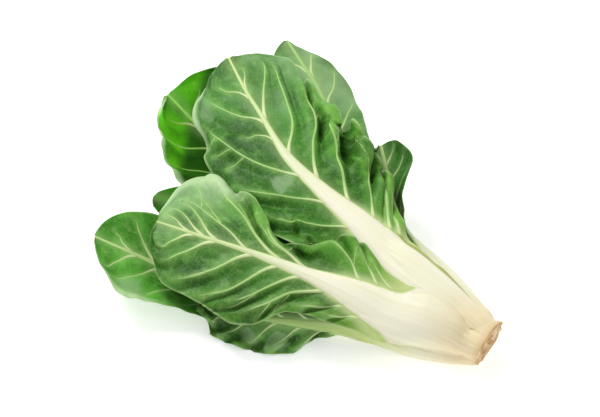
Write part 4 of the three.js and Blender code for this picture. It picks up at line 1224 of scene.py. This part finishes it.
def crown_mesh(blades):
    """The stub: a skin that carries the stalks on to the rim, and the rough cut face with its proud flap."""
    count = CROWN_COLUMNS
    angle = np.linspace(0, 2 * np.pi, count, endpoint=False)
    feet = np.concatenate([side.reshape(-1, 3) for b in blades for side in (b.back, b.face)])
    start = feet_outline(feet, JOINT, angle)
    flap = np.exp(-((angle - FLAP_ANGLE) / FLAP_SPREAD) ** 2)
    lump = 0.5 * np.cos(9 * angle + 0.6) + 0.35 * np.cos(17 * angle + 2.2) + 0.6 * np.cos(4 * angle + 1.2)
    uneven = 0.22 * (start - start.mean()) + 0.25 * lump
    rings = []

    def add(x, radius, is_cut=0.0, share=1.0):
        y, z = CROWN_AXIS[0] + radius * np.cos(angle), CROWN_AXIS[1] + radius * np.sin(angle)
        zero = 0 * angle
        rings.append(np.stack([x + zero, y, np.maximum(z, 0.1), is_cut + zero, share + zero], 1))

    for x, read_at, depth in COLLARS:
        add(x, feet_outline(feet, read_at, angle) - depth)
    for t in SKIN_STEPS:
        taper = t ** 0.85
        radius = (start - 0.8) * (1 - taper) + (RIM_RADIUS + uneven) * taper
        add(JOINT + 11.2 * t + 1.8 * flap * smooth(0.8, 1, t), radius + 2.6 * flap * smooth(0.5, 1, t))
    edge = RIM_RADIUS - 0.5 + uneven + 2.4 * flap
    add(10.0 + 1.8 * flap, edge, 0.4)
    add(10.15 + 1.4 * flap, edge * 0.985, 1)
    rough = 0.3 * np.cos(13 * angle + 1) + 0.25 * np.cos(23 * angle + 3)
    for share in FACE_STEPS:
        swirl = 0.35 * np.cos(6 * angle + 9 * share) * share + rough * share
        add(9.9 - 0.9 * (1 - share) ** 0.5 + swirl, edge * share, 1, share)

    rings = np.array(rings)
    grid = np.arange(len(rings) * count).reshape(-1, count)
    following = np.roll(grid, -1, axis=1)
    quads = np.stack([grid[:-1], following[:-1], following[1:], grid[1:]], 2).reshape(-1, 4)
    ends = [[grid[0, (k + 1) % count], grid[0, k], grid.size, grid.size] for k in range(count)]
    ends += [[grid[-1, k], grid[-1, (k + 1) % count], grid.size + 1, grid.size + 1] for k in range(count)]
    centres = [[COLLARS[0][0], *CROWN_AXIS, 0, 1], [9.1, *CROWN_AXIS, 1, 0]]
    rows = np.concatenate([rings.reshape(-1, 5), centres])
    points = rows[:, :3]
    turned = np.arctan2(points[:, 2] - CROWN_AXIS[1], points[:, 1] - CROWN_AXIS[0])
    tones = {"cut": rows[:, 3], "ring": rows[:, 4], "flat_u": -points[:, 0] / 1000,
             "flat_v": np.abs(turned) * 0.022}
    return tilted(points), np.concatenate([quads, np.array(ends)]), tones


# ---- building ----

def link(name, data):
    made = bpy.data.objects.new(name, data)
    bpy.context.scene.collection.objects.link(made)
    return made


def piece(name, points, faces, tones, material, node):
    """A smooth mesh, of points in millimetres, that stands for a CAD node."""
    mesh = bpy.data.meshes.new(name)
    mesh.from_pydata((points / 1000).tolist(), [], [list(dict.fromkeys(f)) for f in faces.tolist()])
    for key, values in tones.items():
        mesh.attributes.new(key, "FLOAT", "POINT").data.foreach_set("value", np.asarray(values, np.float32))
    mesh.polygons.foreach_set("use_smooth", np.ones(len(mesh.polygons), bool))
    mesh.materials.append(material)
    made = link(name, mesh)
    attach(made, "root")
    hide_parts(node)


offset = frame_offset()
ground = Ground()
blades = []
for number, leaf in enumerate(LEAVES.values()):
    surface = middle_surface(leaf)
    ground.settle(surface)
    ground.cover(surface)
    blades.append(Blade(leaf, surface, number))
for blade, name in zip(blades, LEAVES):
    points, faces, tones = blade.mesh()
    material = leaf_material(name + "_finish", blade.leaf, blade.number * 1.7)
    piece(name + "_visual", points + offset, faces, tones, material, name)
points, faces, tones = crown_mesh(blades)
piece("crown_visual", points + offset, faces, tones, crown_material("crown_finish"), "crown")

# ---- floor, light and camera ----

ELEVATION, AZIMUTH = math.radians(50), math.radians(37.5)
FRAME_WIDTH, CAMERA_DISTANCE, CAMERA_REACH = 0.51, 4, 20
FLOOR_REACH = 10
FLOOR_GLOW = 0.46
WORLD_LIGHT, WORLD_SEEN = 0.54, 1.0  # the world's strength as light, and as seen past the floor

away = Vector((-math.sin(AZIMUTH), math.cos(AZIMUTH), 0))
right = Vector((math.cos(AZIMUTH), math.sin(AZIMUTH), 0))
back = -away * math.cos(ELEVATION) + Vector((0, 0, math.sin(ELEVATION)))
up = back.cross(right)
crown_place = Vector((offset[0], offset[1], 22)) / 1000
aim = crown_place - right * 0.153 + up * 0.1118  # the crown is low and right of the middle

n = Nodes("floor_finish")
grain = n.noise(n.add("TexCoord", 3), 40, 2)
paper = n.tint(PAPER, PAPER_GRAIN, grain, 0.3, 0.7)
glow = {"Emission Color": (1, 1, 1, 1), "Emission Strength": FLOOR_GLOW}
floor_mesh = bpy.data.meshes.new("floor")
corners = [(x * FLOOR_REACH, y * FLOOR_REACH, 0) for x, y in ((-1, -1), (1, -1), (1, 1), (-1, 1))]
floor_mesh.from_pydata(corners, [], [(0, 1, 2, 3)])
floor_mesh.materials.append(n.finish(glow, Base_Color=paper, Roughness=0.9))
link("floor", floor_mesh)

world = bpy.data.worlds.new("studio")
bpy.context.scene.world = world
world.use_nodes = True
background = world.node_tree.nodes["Background"]
background.inputs[0].default_value = (1, 1, 1, 1)
light_path = world.node_tree.nodes.new("ShaderNodeLightPath")
brightness = world.node_tree.nodes.new("ShaderNodeMapRange")
brightness.inputs[3].default_value, brightness.inputs[4].default_value = WORLD_LIGHT, WORLD_SEEN
world.node_tree.links.new(light_path.outputs["Is Camera Ray"], brightness.inputs[0])
world.node_tree.links.new(brightness.outputs[0], background.inputs[1])
bpy.context.scene.view_settings.view_transform = "Standard"
bpy.context.scene.view_settings.look = "None"


def turn_to(made, place, direction):
    made.location = place
    made.rotation_mode = "QUATERNION"
    made.rotation_quaternion = direction.to_track_quat("-Z", "Y")


def lamp(name, place, size, power):
    """A soft square light that looks at the head."""
    data = bpy.data.lights.new(name, "AREA")
    data.size, data.energy = size, power
    turn_to(link(name, data), place, Vector((0, 0, 0.03)) - place)


lamp("key", -right * 0.7 + away * 0.72 + Vector((0, 0, 1.4)), 0.8, 22.5)
lamp("fill", right * 1.2 - away * 0.8 + Vector((0, 0, 1.4)), 1.4, 5)

camera_data = bpy.data.cameras.new("camera")
camera_data.type = "ORTHO"
camera_data.ortho_scale = FRAME_WIDTH
camera_data.clip_end = CAMERA_REACH
camera = link("camera", camera_data)
turn_to(camera, aim + back * CAMERA_DISTANCE, -back)
bpy.context.scene.camera = camera
